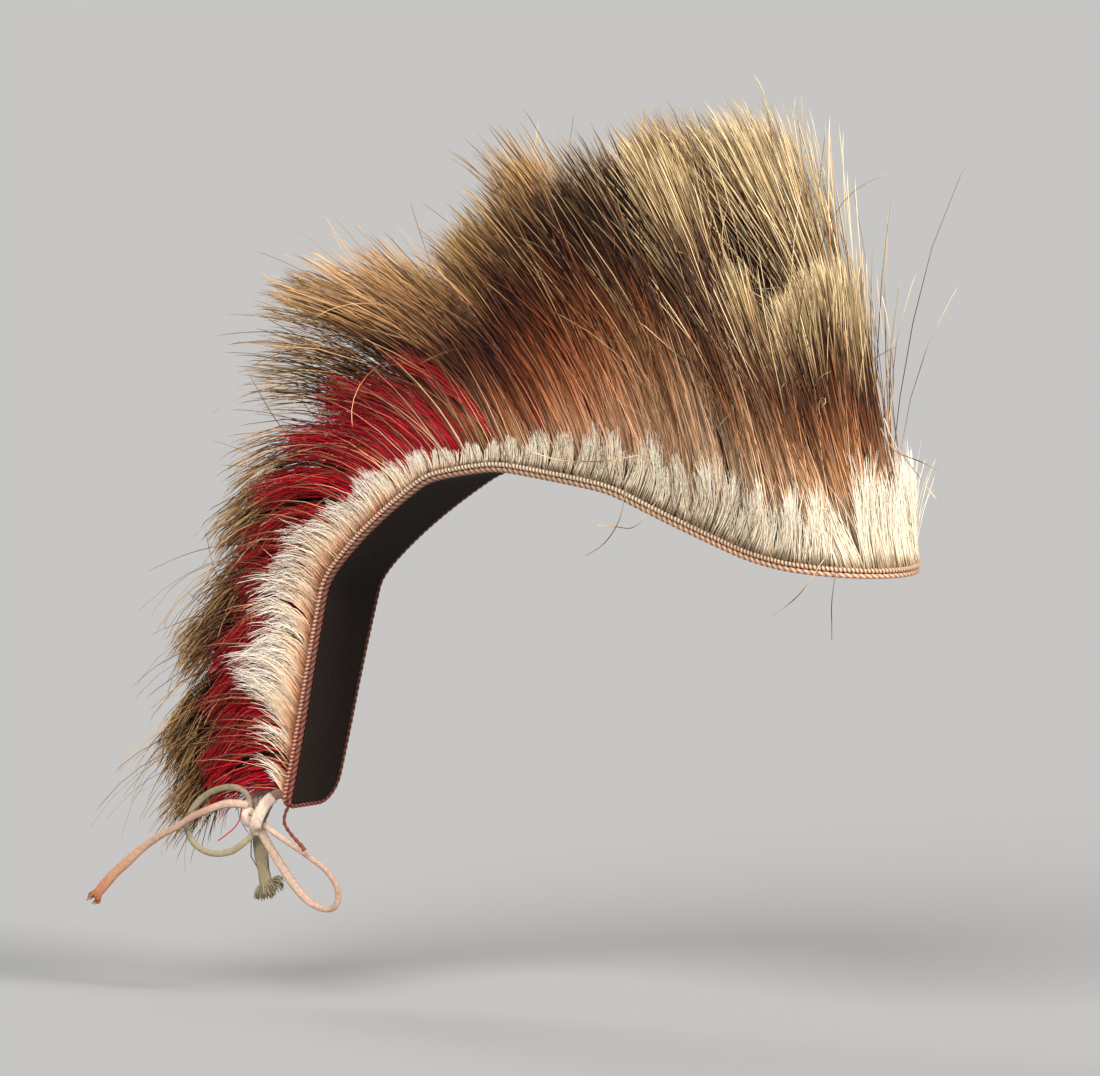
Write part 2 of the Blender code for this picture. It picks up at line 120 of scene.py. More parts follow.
DEER_HAIR = same_both_sides(
    (0.0, 1.0, 103, 99), (0.05, 0.84, 90, 101), (0.1, 0.72, 60, 100), (0.16, 0.68, 54, 98),
    (0.22, 0.7, 54, 98), (0.32, 0.56, 58, 96), (0.4, 0.46, 66, 96), (0.44, 0.36, 72, 100),
    (0.47, 0.24, 78, 104), (0.54, 0.22, 92, 114), (0.6, 0.32, 110, 132), (0.66, 0.44, 122, 156),
    (0.71, 0.52, 130, 194), (0.75, 0.66, 130, 222), (0.8, 0.92, 126, 232), (0.86, 1.0, 120, 224),
    (0.9, 0.9, 120, 192), (0.94, 0.74, 123, 176), (1.0, 0.56, 140, 166),
)
RED_HAIR = same_both_sides(
    (0.1, 0.7, 93, 115), (0.24, 0.88, 94, 125), (0.33, 0.96, 102, 138), (0.43, 1.0, 110, 150),
    (0.49, 1.0, 114, 165), (0.56, 1.0, 122, 184), (0.62, 0.9, 130, 200), (0.68, 0.84, 134, 214),
    (0.75, 0.78, 142, 226), (0.83, 0.8, 156, 236), (0.91, 0.78, 164, 240), (1.0, 0.56, 166, 226),
)
# How much nearer the root, as a share of its length, a guard hair turns cream
Sooner = namedtuple("Sooner", "along left right")
CREAM_SOONER = [Sooner(*row) for row in (
    (0.0, 0.02, -0.08), (0.05, 0.06, -0.06), (0.09, 0.1, -0.06), (0.14, 0.04, -0.13),
    (0.2, -0.09, -0.27), (0.28, -0.13, -0.28), (0.36, -0.08, -0.18), (0.42, 0.03, 0.03),
    (0.46, 0.14, 0.14), (0.5, 0.1, 0.1), (0.54, 0.0, 0.0), (0.62, -0.02, -0.02), (0.7, 0.03, 0.03),
    (0.82, -0.02, -0.02), (1.0, 0.0, 0.0),
)]

# Shares of the strip's length from its front tip
ROWS_END = 0.985
RED_FRONT = (0.15, 0.465)
RED_TAIL = (0.46, 0.985)
GUARD_TURNS_IN = (0.46, 0.54)

# The lace and the binding thread
LACE_RADIUS = 0.0011
STRAP_RADIUS = 0.0014
LACE_END_RADIUS = 0.0013
SHORT_END_RADIUS = 0.0015
BINDING_RADIUS = 0.0006
KNOT_LOW, KNOT_HIGH = (np.array(corner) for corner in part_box("tie_knot"))
KNOT_MIDDLE = (KNOT_LOW + KNOT_HIGH) / 2
LACE_FACE = np.array((0.45, -0.89, 0.05))  # the way that the lace's broad side faces
ROUTE_STEPS = 12

# Routes in millimetres from the knot's middle
LOOP_BACK_ROUTE = [
    (-1.0, -1.0, 3.0), (-1.7, -1.6, 8.4), (-3.9, -2.0, 11.0), (-7.7, -2.7, 12.0),
    (-13.6, -3.4, 10.9), (-19.6, -4.0, 7.4), (-22.9, -5.5, 2.6), (-23.9, -6.0, -2.5),
    (-21.9, -5.5, -7.2), (-17.7, -4.8, -10.0), (-13.3, -4.0, -10.7), (-8.4, -2.8, -9.8),
    (-4.0, -1.9, -7.0), (-1.1, -0.9, -4.2), (1.1, -0.4, -1.2),
]
LOOP_FRONT_ROUTE = [
    (1.6, -0.6, -1.1), (2.3, 0.4, -3.5), (4.9, 2.0, -8.9), (8.8, 3.6, -15.4), (12.1, 5.0, -20.7),
    (16.5, 6.0, -25.4), (21.1, 6.5, -27.9), (24.7, 7.0, -28.4), (27.5, 7.0, -27.0),
    (28.7, 7.0, -23.7), (28.2, 6.0, -19.5), (25.2, 4.5, -14.7), (19.8, 3.0, -10.7),
    (12.3, 1.5, -6.1), (6.5, 0.5, -2.5), (3.7, 0.0, -0.5), (2.2, -0.4, 0.1),
]
END_LONG_ROUTE = [
    (-1.9, -1.8, 6.0), (-4.3, -3.6, 6.6), (-8.7, -5.5, 6.5), (-13.5, -8.0, 4.7),
    (-20.0, -10.0, 1.5), (-25.4, -11.5, -2.2), (-30.4, -12.5, -4.8), (-36.9, -13.5, -9.2),
    (-42.3, -15.0, -14.1), (-47.7, -16.5, -19.3), (-52.4, -18.0, -25.1), (-53.8, -18.3, -26.8),
]
END_SHORT_ROUTE = [
    (1.0, 2.4, 5.6), (0.4, 2.4, 2.6), (-0.6, 3.0, -0.6), (-1.2, 3.6, -3.4), (-1.2, 4.0, -6.6),
    (-0.4, 3.6, -9.9), (0.5, 3.0, -13.4), (1.6, 2.4, -16.9), (2.7, 2.0, -20.4), (3.8, 1.8, -23.8),
]
STRAP_RIGHT_ROUTE = [
    (13.1, 1.2, 9.3), (9.0, 1.1, 10.4), (6.0, 1.0, 9.0), (4.2, 1.0, 6.0), (3.0, 0.6, 3.0),
    (1.6, 0.2, 0.4),
]
STRAP_LEFT_ROUTE = [
    (13.2, 4.8, 10.2), (8.0, 4.8, 12.6), (2.3, 4.8, 11.1), (-1.0, 4.4, 10.3), (-2.6, 3.6, 8.5),
    (-2.1, 2.0, 5.7), (-1.2, 0.4, 2.9),
]
BINDING_END_ROUTE = [
    (14.9, -1.6, 7.4), (13.6, -2.4, 4.4), (13.4, -2.6, 0.8), (15.8, -1.8, -3.0), (19.2, -1.0, -6.5),
    (20.2, -0.8, -8.0),
]
RED_THREAD_ROUTE = [  # in millimetres from the origin
    (-111.2, -10, -115.8), (-112.1, -11, -118.9), (-112.8, -11, -123.1), (-114.8, -11, -126.2),
    (-118.7, -11, -129.3), (-122.2, -11, -131.6),
]

# Single strands
STRAND_SIDES = 3
TIP_TAPER = 0.05  # the pointed share of a hair's length
ODD_WAY = (0.31, 0.87, 0.39)  # along which no strand runs
MAP_STRIP = ((0.06, 0.88), (0.08, 0.84))  # a strand's first place and extent in its strip
STRIP_ASPECT = 3
CAP_U = 0.04
CAP_V = 0.3

# Camera: the photograph's angle and frame
VIEW_AZIMUTH = 33.0
VIEW_ELEVATION = 5.0
CAMERA_DISTANCE = 5.5
SENSOR_WIDTH = 36.0
LENS = 540.0  # so that 3.0 of the frame's 1100 pixels go to a millimetre at the origin
FRAME_RIGHT = 0.0039  # the frame's middle, from the origin, across and up the view
FRAME_UP = -0.0237


def read(table, name, along):
    """A table's column at these shares along the strip."""
    at = [row.along for row in table]
    return np.interp(along, at, [getattr(row, name) for row in table])


def strip_line():
    """The underside in the middle plane, as arrays of distance, x, z and rise."""
    steps = round(BASE_LENGTH / LINE_STEP) + 1
    middles = (np.arange(steps) + 0.5) * LINE_STEP / BASE_LENGTH
    rise = np.radians(read(SECTIONS, "rise", middles))
    x = np.concatenate([[0.0], np.cumsum(-np.cos(rise) * LINE_STEP)])
    z = np.concatenate([[0.0], np.cumsum(np.sin(rise) * LINE_STEP)])
    crown = np.argmax(z)
    s = np.arange(steps + 1) * LINE_STEP
    return s, x - x[crown], z - z[crown], np.concatenate([rise[:1], rise])


STRIP_LINE = strip_line()


def on_strip(s, y, up):
    """Points s from the front tip along the strip, y to the left and up above its underside."""
    line_s, line_x, line_z, line_rise = STRIP_LINE
    x, z, rise = (np.interp(s, line_s, values) for values in (line_x, line_z, line_rise))
    return np.stack([x + up * np.sin(rise), y + 0 * x, z + up * np.cos(rise)], axis=-1)


def half_width(s):
    return FRONT_RADIUS * read(SECTIONS, "half_width", s / BASE_LENGTH)


def unit(vectors):
    return vectors / np.maximum(np.linalg.norm(vectors, axis=-1, keepdims=True), TINY)


def circle(sides):
    """Angles round a circle."""
    return np.arange(sides) * FULL_TURN / sides


def smooth_steps(share):
    return share * share * (3 - 2 * share)


# Making meshes


def new_piece(name, vertices, corners, sizes, finish):
    """A mesh object from its vertices and its faces' corners, where sizes counts each face's."""
    mesh = bpy.data.meshes.new(name)
    mesh.vertices.add(len(vertices))
    mesh.vertices.foreach_set("co", np.asarray(vertices, np.float32).ravel())
    mesh.loops.add(len(corners))
    mesh.loops.foreach_set("vertex_index", np.asarray(corners, np.int32))
    mesh.polygons.add(len(sizes))
    starts = np.concatenate([[0], np.cumsum(sizes)[:-1]])
    mesh.polygons.foreach_set("loop_start", np.asarray(starts, np.int32))
    mesh.update(calc_edges=True)
    mesh.validate()
    mesh.shade_smooth()
    piece = bpy.data.objects.new(name, mesh)
    piece.data.materials.append(finish)
    bpy.context.scene.collection.objects.link(piece)
    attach(piece, "root")
    return piece


def give_attribute(piece, name, values):
    made = piece.data.attributes.new(name, "FLOAT", "POINT")
    made.data.foreach_set("value", np.asarray(values, np.float32).ravel())


def give_map(piece, places):
    """A map named as the exporter looks for it, so that each strand keeps its own strip."""
    layer = piece.data.uv_layers.new(name="OFBake")
    layer.uv.foreach_set("vector", np.asarray(places, np.float32).ravel())


def ring_frames(points):
    """Two directions across each point's way along its strand."""
    way = unit(np.gradient(points, axis=1))
    first = unit(np.cross(way[:, 0], ODD_WAY))
    across = unit(first[:, None] - (first[:, None] * way).sum(-1, keepdims=True) * way)
    return across, np.cross(way, across)


def ring_grid(rings, sides):
    """The first vertex of each ring, and each side with the one after it."""
    side = np.arange(sides)[None]
    return np.arange(rings)[:, None] * sides, side, (side + 1) % sides


def strand_map(count, rings, sides):
    """A place on the map for each corner of the strands, where each has a strip of its own."""
    ring, side, _ = ring_grid(rings - 1, sides)
    quad_u = np.stack([ring, ring, ring + sides, ring + sides], -1) + 0 * side[..., None]
    quad_v = np.stack([side, side + 1, side + 1, side], -1) + 0 * ring[..., None]
    last = (rings - 1) * sides
    tip_u = np.tile([last, last, rings * sides], sides)
    tip_v = np.stack([side[0], side[0] + 1, side[0] + 0.5], -1)
    cap = np.arange(sides)[::-1]
    u = np.concatenate([quad_u.ravel() / sides, tip_u / sides, CAP_U * (cap % 2)]) / rings
    v = np.concatenate([quad_v.ravel(), tip_v.ravel(), CAP_V + CAP_V * cap]) / sides
    rows = math.ceil(math.sqrt(count * STRIP_ASPECT))
    columns = math.ceil(count / rows)
    cell = np.arange(count)
    (low_u, wide_u), (low_v, wide_v) = MAP_STRIP
    u_all = (cell % columns)[:, None] / columns + (low_u + wide_u * u)[None] / columns
    v_all = (cell // columns)[:, None] / rows + (low_v + wide_v * v)[None] / rows
    return np.stack([u_all, v_all], -1)


def strand_mesh(name, hairs, finish, sides=STRAND_SIDES):
    """Tapered closed strands joined into one mesh, with their attributes and map."""
    points, radius = hairs.points, hairs.radius
    count, rings = points.shape[0], points.shape[1] - 1
    across, other = ring_frames(points)
    angle = hairs.chance[:, None] * FULL_TURN + circle(sides)
    turned = (
        np.cos(angle)[:, None, :, None] * across[:, :rings, None]
        + np.sin(angle)[:, None, :, None] * other[:, :rings, None]
    )
    tubes = points[:, :rings, None] + radius[:, :rings, None, None] * turned
    per = rings * sides + 1
    vertices = np.concatenate([tubes.reshape(count, -1, 3), points[:, rings:]], axis=1)

    ring, side, after = ring_grid(rings - 1, sides)
    quads = np.stack([ring + side, ring + after, ring + sides + after, ring + sides + side], -1)
    last = (rings - 1) * sides
    tips = np.stack([last + side[0], last + after[0], np.full(sides, per - 1)], -1)
    pattern = np.concatenate([quads.ravel(), tips.ravel(), np.arange(sides)[::-1]])
    sizes = np.concatenate([np.full(quads.size // 4, 4), np.full(sides, 3), [sides]])
    corners = (pattern[None] + np.arange(count)[:, None] * per).ravel()
    piece = new_piece(name, vertices.reshape(-1, 3), corners, np.tile(sizes, count), finish)

    ring_t = np.repeat(np.arange(rings) * (1 - TIP_TAPER) / (rings - 1), sides)
    give_attribute(piece, "along", np.tile(np.append(ring_t, 1.0), count))
    for label in ("chance", "station", "warmth", "pale", "sooner"):
        give_attribute(piece, label, np.repeat(getattr(hairs, label), per))
    give_map(piece, strand_map(count, rings, sides))
    return piece


def swept(name, path, shape, finish, closed=False, marks=None):
    """A tube along a path, whose section at each point is a row of (across, deep) offsets."""
    count, sides = shape.shape[:2]
    if closed:
        way = unit(np.roll(path, -1, axis=0) - np.roll(path, 1, axis=0))
    else:
        way = unit(np.gradient(path, axis=0))
    across = unit(np.cross(way, LACE_FACE))
    deep = np.cross(way, across)
    tube = path[:, None] + shape[..., :1] * across[:, None] + shape[..., 1:] * deep[:, None]
    rings = count if closed else count - 1
    ring, side, turn = ring_grid(rings, sides)
    after = (ring + sides) % (count * sides)
    corners = np.stack([ring + side, ring + turn, after + turn, after + side], -1).ravel()
    sizes = np.full(rings * sides, 4)
    if not closed:
        caps = [np.arange(sides)[::-1], (count - 1) * sides + np.arange(sides)]
        corners = np.concatenate([corners, *caps])
        sizes = np.append(sizes, [sides, sides])
    piece = new_piece(name, tube.reshape(-1, 3), corners, sizes, finish)
    for label, values in (marks or {}).items():
        give_attribute(piece, label, np.broadcast_to(values, (count, sides)))
    return piece


def curved(given):
    """Close points on a smooth curve through the given ones."""
    padded = np.concatenate([[2 * given[0] - given[1]], given, [2 * given[-1] - given[-2]]])
    t = (np.arange(ROUTE_STEPS) / ROUTE_STEPS)[:, None]
    fine = [
        0.5 * (2 * b + (c - a) * t + (2 * a - 5 * b + 4 * c - d) * t**2
               + (3 * b - a - 3 * c + d) * t**3)
        for a, b, c, d in zip(padded, padded[1:], padded[2:], padded[3:])
    ]
    return np.concatenate([*fine, given[-1:]])


def resampled(points, spacing=None, steps=None):
    """The line's points at about this spacing, or in so many steps."""
    travelled = np.concatenate([[0], np.cumsum(np.linalg.norm(np.diff(points, axis=0), axis=1))])
    steps = steps or max(round(travelled[-1] / spacing), 2)
    wanted = np.linspace(0, travelled[-1], steps + 1)
    return np.stack([np.interp(wanted, travelled, points[:, axis]) for axis in range(3)], -1)


def smooth_route(route, spacing):
    """Points at about this spacing on a smooth curve through a route's points."""
    return resampled(curved(KNOT_MIDDLE + np.array(route) * MM), spacing)


# Combing hair

Hairs = namedtuple("Hairs", "points radius chance station warmth pale sooner")
Group = namedtuple("Group", "along root off lean cut turn tint")

# table and longest give a row's lengths and directions. inset, depth and lift place its roots, and
# flare leans it outwards. tufted says how strongly its locks show. lock and wisp are widths, and
# each pull a share of the way to a group's middle. Leans, turns, stray, wave, curl and bias are in
# degrees. lock_length, point and ragged are shares of a length, lost by a whole lock, at a lock's
# edge and by a single hair. late puts the bend nearer the tip, curly is the share of hairs that
# curl from curls_from on, and thinning the share of the radius lost at the tip.
Row = namedtuple(
    "Row",
    "finish slot tints_of table longest inset depth lift flare tufted lock wisp root_pull "
    "lock_pull wisp_pull lock_lean lock_turn lock_length point ragged stray wave root_radius "
    "thinning steps late curly curl curls_from bias",
    defaults=(1.0, 0.0, 55.0, (0.5, 0.8), 0.0),
)
SPREAD_SHARE = 0.03  # of the solids' box, that a stray hair may leave it by, with a margin
SPREAD_MARGIN = 0.008
SPREAD_SOFTNESS = 1.6
SOWN_STEPS = 400
ROOT_SCATTER = 0.42  # of a row's depth, to either side
GROUP_SCATTER = 0.3  # of a group's middle, to either side, as a share of the pitch
GROUP_REACH = 0.6  # from a group's middle to its edge, as a share of the pitch
LOCK_SHARES = (1.0, 1.0, 1.0)  # of a row's lock_lean, lock_length and lock_turn
WISP_SHARES = (0.7, 0.8, 0.9)
WISP_POINT = 0.5  # as a share of a lock's
EDGE_POWER = 1.5
BEFORE_CUTS = 1.03
WILD_SHARE = 0.05  # of the hairs, which stray from their wisps
WILD_STRAY = 3.2
WILD_PULL = 0.3
BEND_SCATTER = (0.85, 1.15)
TURN_AT_ROOT = 0.4  # the share of a lock's turn that its roots have
STRAY_AT_ROOT = 0.3
STRAY_TURN = 1.1
STRAY_LEAN = 0.5
WAVE_TURNS = (2, 6)  # radians from root to tip
CURL_LEAN = 0.4
PULL_POWER = 1.2
THINNING_POWER = 1.6
RADIUS_SCATTER = (0.75, 1.25)
LOCK_TINT = 0.6
WISP_TINT = 0.8
OUTER_FLARE = 3.0
INNER_FLARE = 0.5

# (along, how strongly the locks show)
DEER_TUFTS = [(0.0, 1.2), (0.1, 1.1), (0.36, 1.0), (0.45, 0.6), (0.72, 0.5), (0.8, 1.1)]
GUARD_TUFTS = [(0.0, 0.9), (0.3, 1.0), (0.55, 1.0), (0.65, 1.35)]


def interpolated(table, at):
    """A table of (place, value) read at these places."""
    return np.interp(at, *np.array(table).T)


def tufts(table):
    return lambda along: interpolated(table, along)


def even(value):
    return lambda along: value + 0 * along


def turned_in(outer, inner):
    """A value of the guard hair, which is the outer row at the front and the inner one behind."""
    first, last = GUARD_TURNS_IN
    return lambda along: outer + (inner - outer) * np.clip((along - first) / (last - first), 0, 1)


def half_row(share, inset_of, outward, jitter):
    """Roots from the tail's end (0) up one side and round to the front's middle (1)."""
    side = ROWS_END * BASE_LENGTH - FRONT_RADIUS
    arc_radius = FRONT_RADIUS - inset_of(0.0 * share) - jitter
    distance = share * (side + QUARTER_TURN * arc_radius)
    turn = np.clip((distance - side) / arc_radius, 0, QUARTER_TURN)
    in_arc = distance > side
    s = np.where(in_arc, FRONT_RADIUS - arc_radius * np.sin(turn), FRONT_RADIUS + side - distance)
    along = np.where(in_arc, FRONT_RADIUS * (1 - np.sin(turn)) / BASE_LENGTH, s / BASE_LENGTH)
    on_side = half_width(s) - inset_of(along) - jitter
    y = outward * np.where(in_arc, arc_radius * np.cos(turn), on_side)
    return along, s, y, outward * np.where(in_arc, np.cos(turn), 1.0)


def span_row(span, share, inset_of, outward, jitter):
    """Roots along one side, from span's start to its end."""
    along = span[0] + (span[1] - span[0]) * share
    s = along * BASE_LENGTH
    return along, s, outward * (half_width(s) - inset_of(along) - jitter), outward + 0 * s


def sown(rng, count, density, first=0.0, last=1.0):
    """Shares between first and last, as dense as the table of (share, density) says."""
    fine = np.linspace(first, last, SOWN_STEPS)
    heap = np.cumsum(interpolated(density, fine))
    return np.interp(rng.random(count) * heap[-1], heap, fine)


def centres(rng, length, pitch):
    """Shares of a row's length where its groups stand, unevenly, about a pitch apart."""
    count = max(round(length / pitch), 2)
    return (np.arange(count) + 0.5 + rng.uniform(-GROUP_SCATTER, GROUP_SCATTER, count)) / count


def nearest(centre, share):
    """Each share's group, and how far off its centre the share lies, from 0 to 1."""
    edges = (centre[1:] + centre[:-1]) / 2
    mine = np.searchsorted(edges, share)
    reach = GROUP_REACH / len(centre)
    return mine, np.clip(np.abs(share - centre[mine]) / reach, 0, 1)


def grouped(rng, row, roots_of, centre, share, shares):
    """What each hair has in common with the rest of its lock or wisp."""
    lean, cut, turn = (
        part * whole for part, whole in zip(shares, (row.lock_lean, row.lock_length, row.lock_turn))
    )
    mine, off = nearest(centre, share)
    along, s, y, _ = roots_of(centre, 0 * centre)
    count = len(centre)
    leans = rng.normal(0, lean, count)
    cuts = rng.uniform(-cut, 0.5 * cut, count)
    turns = rng.normal(0, turn, count)
    tints = rng.normal(0, 1, count)
    root = on_strip(s, y, row.lift)
    return Group(along[mine], root[mine], off, leans[mine], cuts[mine], turns[mine], tints[mine])


def hair_lengths(rng, row, y, station, tufted, lock, wisp):
    """Lengths from the row's table, less what each lock, wisp and hair loses."""
    lengths = np.where(y > 0, read(row.table, "left", station), read(row.table, "right", station))
    lock_cut = (lock.cut - row.point * lock.off**EDGE_POWER) * tufted
    wisp_cut = wisp.cut - WISP_POINT * row.point * wisp.off**EDGE_POWER
    lengths *= row.longest * (BEFORE_CUTS + lock_cut + wisp_cut)
    return lengths * (1 - np.abs(rng.normal(0, row.ragged, len(y))) + 0.5 * row.ragged)


def headings(rng, row, t, along, station, outward, loose, lock, wisp):
    """The way of each step of each hair, from its turn over the strip and its lean outwards."""
    each = (len(along), 1)
    first = read(row.table, "root", along)[:, None]
    turn = read(row.table, "tip", station)[:, None] - first
    bend = row.late * rng.uniform(*BEND_SCATTER, each)
    angle = first + turn * t**bend
    angle += (
        lock.turn[:, None] * (TURN_AT_ROOT + (1 - TURN_AT_ROOT) * t)
        + wisp.turn[:, None] * t
        + row.bias * t
    )
    angle += rng.normal(0, 1, each) * loose * (STRAY_AT_ROOT + STRAY_TURN * t**2)
    wave = rng.uniform(0, FULL_TURN, each) + t * rng.uniform(*WAVE_TURNS, each)
    angle += np.sin(wave) * row.wave * t
    curl = np.where(rng.random(each) < row.curly, rng.normal(0, row.curl, each), 0.0)
    curls_from = rng.uniform(*row.curls_from, each)
    curl = curl * smooth_steps(np.clip((t - curls_from) / (1 - curls_from), 0, 1))
    lean = (row.flare(along) * outward)[:, None] + (lock.lean + wisp.lean)[:, None] * t
    lean = lean + rng.normal(0, 1, each) * loose * (STRAY_AT_ROOT + STRAY_LEAN * t)
    lean = np.radians(lean + CURL_LEAN * curl * rng.normal(0, 1, each))
    angle = np.radians(angle + curl)
    return np.stack(
        [np.cos(angle) * np.cos(lean), np.sin(lean), np.sin(angle) * np.cos(lean)], axis=-1
    )


def comb(rng, row, share, roots_of, length):
    """Hairs of a row, drawn together into wisps and wisps into locks towards their tips."""
    count = len(share)
    jitter = rng.uniform(-ROOT_SCATTER, ROOT_SCATTER, count) * row.depth
    locks = centres(rng, length, row.lock)
    wisps = centres(rng, length, row.wisp)
    share = share + (locks[nearest(locks, share)[0]] - share) * row.root_pull
    along, s, y, outward = roots_of(share, jitter)
    root = on_strip(s, y, row.lift)
    lock = grouped(rng, row, roots_of, locks, share, LOCK_SHARES)
    wisp = grouped(rng, row, roots_of, wisps, share, WISP_SHARES)
    tufted = row.tufted(along)
    lock = lock._replace(lean=lock.lean * tufted, turn=lock.turn * tufted)
    lock_pull = row.lock_pull * tufted
    station = along + (lock.along - along) * lock_pull
    lengths = hair_lengths(rng, row, y, station, tufted, lock, wisp)
    wild = rng.random(count) < WILD_SHARE
    loose = (np.where(wild, WILD_STRAY, 1.0) * row.stray)[:, None]

    marks = np.append(np.arange(row.steps) * (1 - TIP_TAPER) / (row.steps - 1), 1.0)
    t = ((marks[1:] + marks[:-1]) / 2)[None]
    way = headings(rng, row, t, along, station, outward, loose, lock, wisp)
    steps = way * lengths[:, None, None] * np.diff(marks)[None, :, None]
    points = np.concatenate([np.zeros((count, 1, 3)), np.cumsum(steps, axis=1)], axis=1)
    pull = (lock.root - root) * lock_pull[:, None] + (wisp.root - root) * row.wisp_pull
    pull[wild] *= WILD_PULL
    points += root[:, None]
    points += pull[:, None] * marks[None, :, None] ** PULL_POWER

    shape = 1 - row.thinning * marks**THINNING_POWER
    radius = row.root_radius * rng.uniform(*RADIUS_SCATTER, count)[:, None] * shape[None]
    tints = row.tints_of(rng, along, y, LOCK_TINT * lock.tint + WISP_TINT * wisp.tint)
    return Hairs(held_in(points), radius, rng.random(count), along, *tints)


def held_in(points):
    """The points, those of stray hairs drawn in softly towards the solids' box."""
    low, high = (np.array(corner) for corner in CAD_BOX)
    spread = SPREAD_SHARE * (high - low) + SPREAD_MARGIN
    soft = SPREAD_SOFTNESS * spread
    for limit, sign in ((high + spread, 1), (low - spread, -1)):
        over = sign * (points - limit) + soft
        points = np.where(over > 0, limit + sign * (soft * np.tanh(over / soft) - soft), points)
    return points


# Finishes

CHANCE_STRETCH = 7.31  # makes a second even draw of a strand's chance
MOTTLE_LOW = 0.55  # the darkest mottling's brightness, and what the brightest adds
MOTTLE_SPREAD = 0.9
MOTTLE_DETAIL = 5.0
ARCH_HEIGHT = 4.0  # brings share * (1 - share) to 1 halfway


def finish(name, roughness, specular=0.4):
    """A Principled material, with its nodes, links and shader."""
    made = bpy.data.materials.new(name)
    made.use_nodes = True
    tree = made.node_tree
    shader = tree.nodes["Principled BSDF"]
    shader.inputs["Roughness"].default_value = roughness
    shader.inputs["Specular IOR Level"].default_value = specular
    return made, tree, shader


def node(tree, kind, **settings):
    made = tree.nodes.new(kind)
    for name, value in settings.items():
        setattr(made, name, value)
    return made


def feed(tree, socket, value):
    """Gives a socket another socket's value, a colour or a number."""
    if isinstance(value, bpy.types.NodeSocket):
        tree.links.new(value, socket)
    elif isinstance(value, tuple):
        socket.default_value = (*value, 1.0)
    else:
        socket.default_value = value


def attribute(tree, name):
    return node(tree, "ShaderNodeAttribute", attribute_name=name).outputs["Fac"]


def arithmetic(tree, operation, *values):
    made = node(tree, "ShaderNodeMath", operation=operation)
    for socket, value in zip(made.inputs, values):
        feed(tree, socket, value)
    return made.outputs[0]


def ramp(tree, factor, stops):
    """Colours between stops of (place, red, green, blue)."""
    made = node(tree, "ShaderNodeValToRGB")
    elements = made.color_ramp.elements
    while len(elements) < len(stops):
        elements.new(0.5)
    for element, (at, *colour) in zip(elements, stops):
        element.position = at
        element.color = (*colour, 1.0)
    tree.links.new(factor, made.inputs["Fac"])
    return made.outputs["Color"]


def mix(tree, factor, first, second, blend="MIX"):
    made = node(tree, "ShaderNodeMix", data_type="RGBA", blend_type=blend)
    for socket, value in zip((made.inputs[0], *made.inputs[6:8]), (factor, first, second)):
        feed(tree, socket, value)
    return made.outputs[2]


def brightened(tree, colour, value):
    made = node(tree, "ShaderNodeHueSaturation")
    tree.links.new(value, made.inputs["Value"])
    tree.links.new(colour, made.inputs["Color"])
    return made.outputs["Color"]


def varied(tree, colour, low, high):
    """The colour, brighter or darker from strand to strand."""
    stretched = arithmetic(tree, "MULTIPLY", attribute(tree, "chance"), CHANCE_STRETCH)
    again = arithmetic(tree, "FRACT", stretched)
    return brightened(tree, colour, arithmetic(tree, "MULTIPLY_ADD", again, high - low, low))


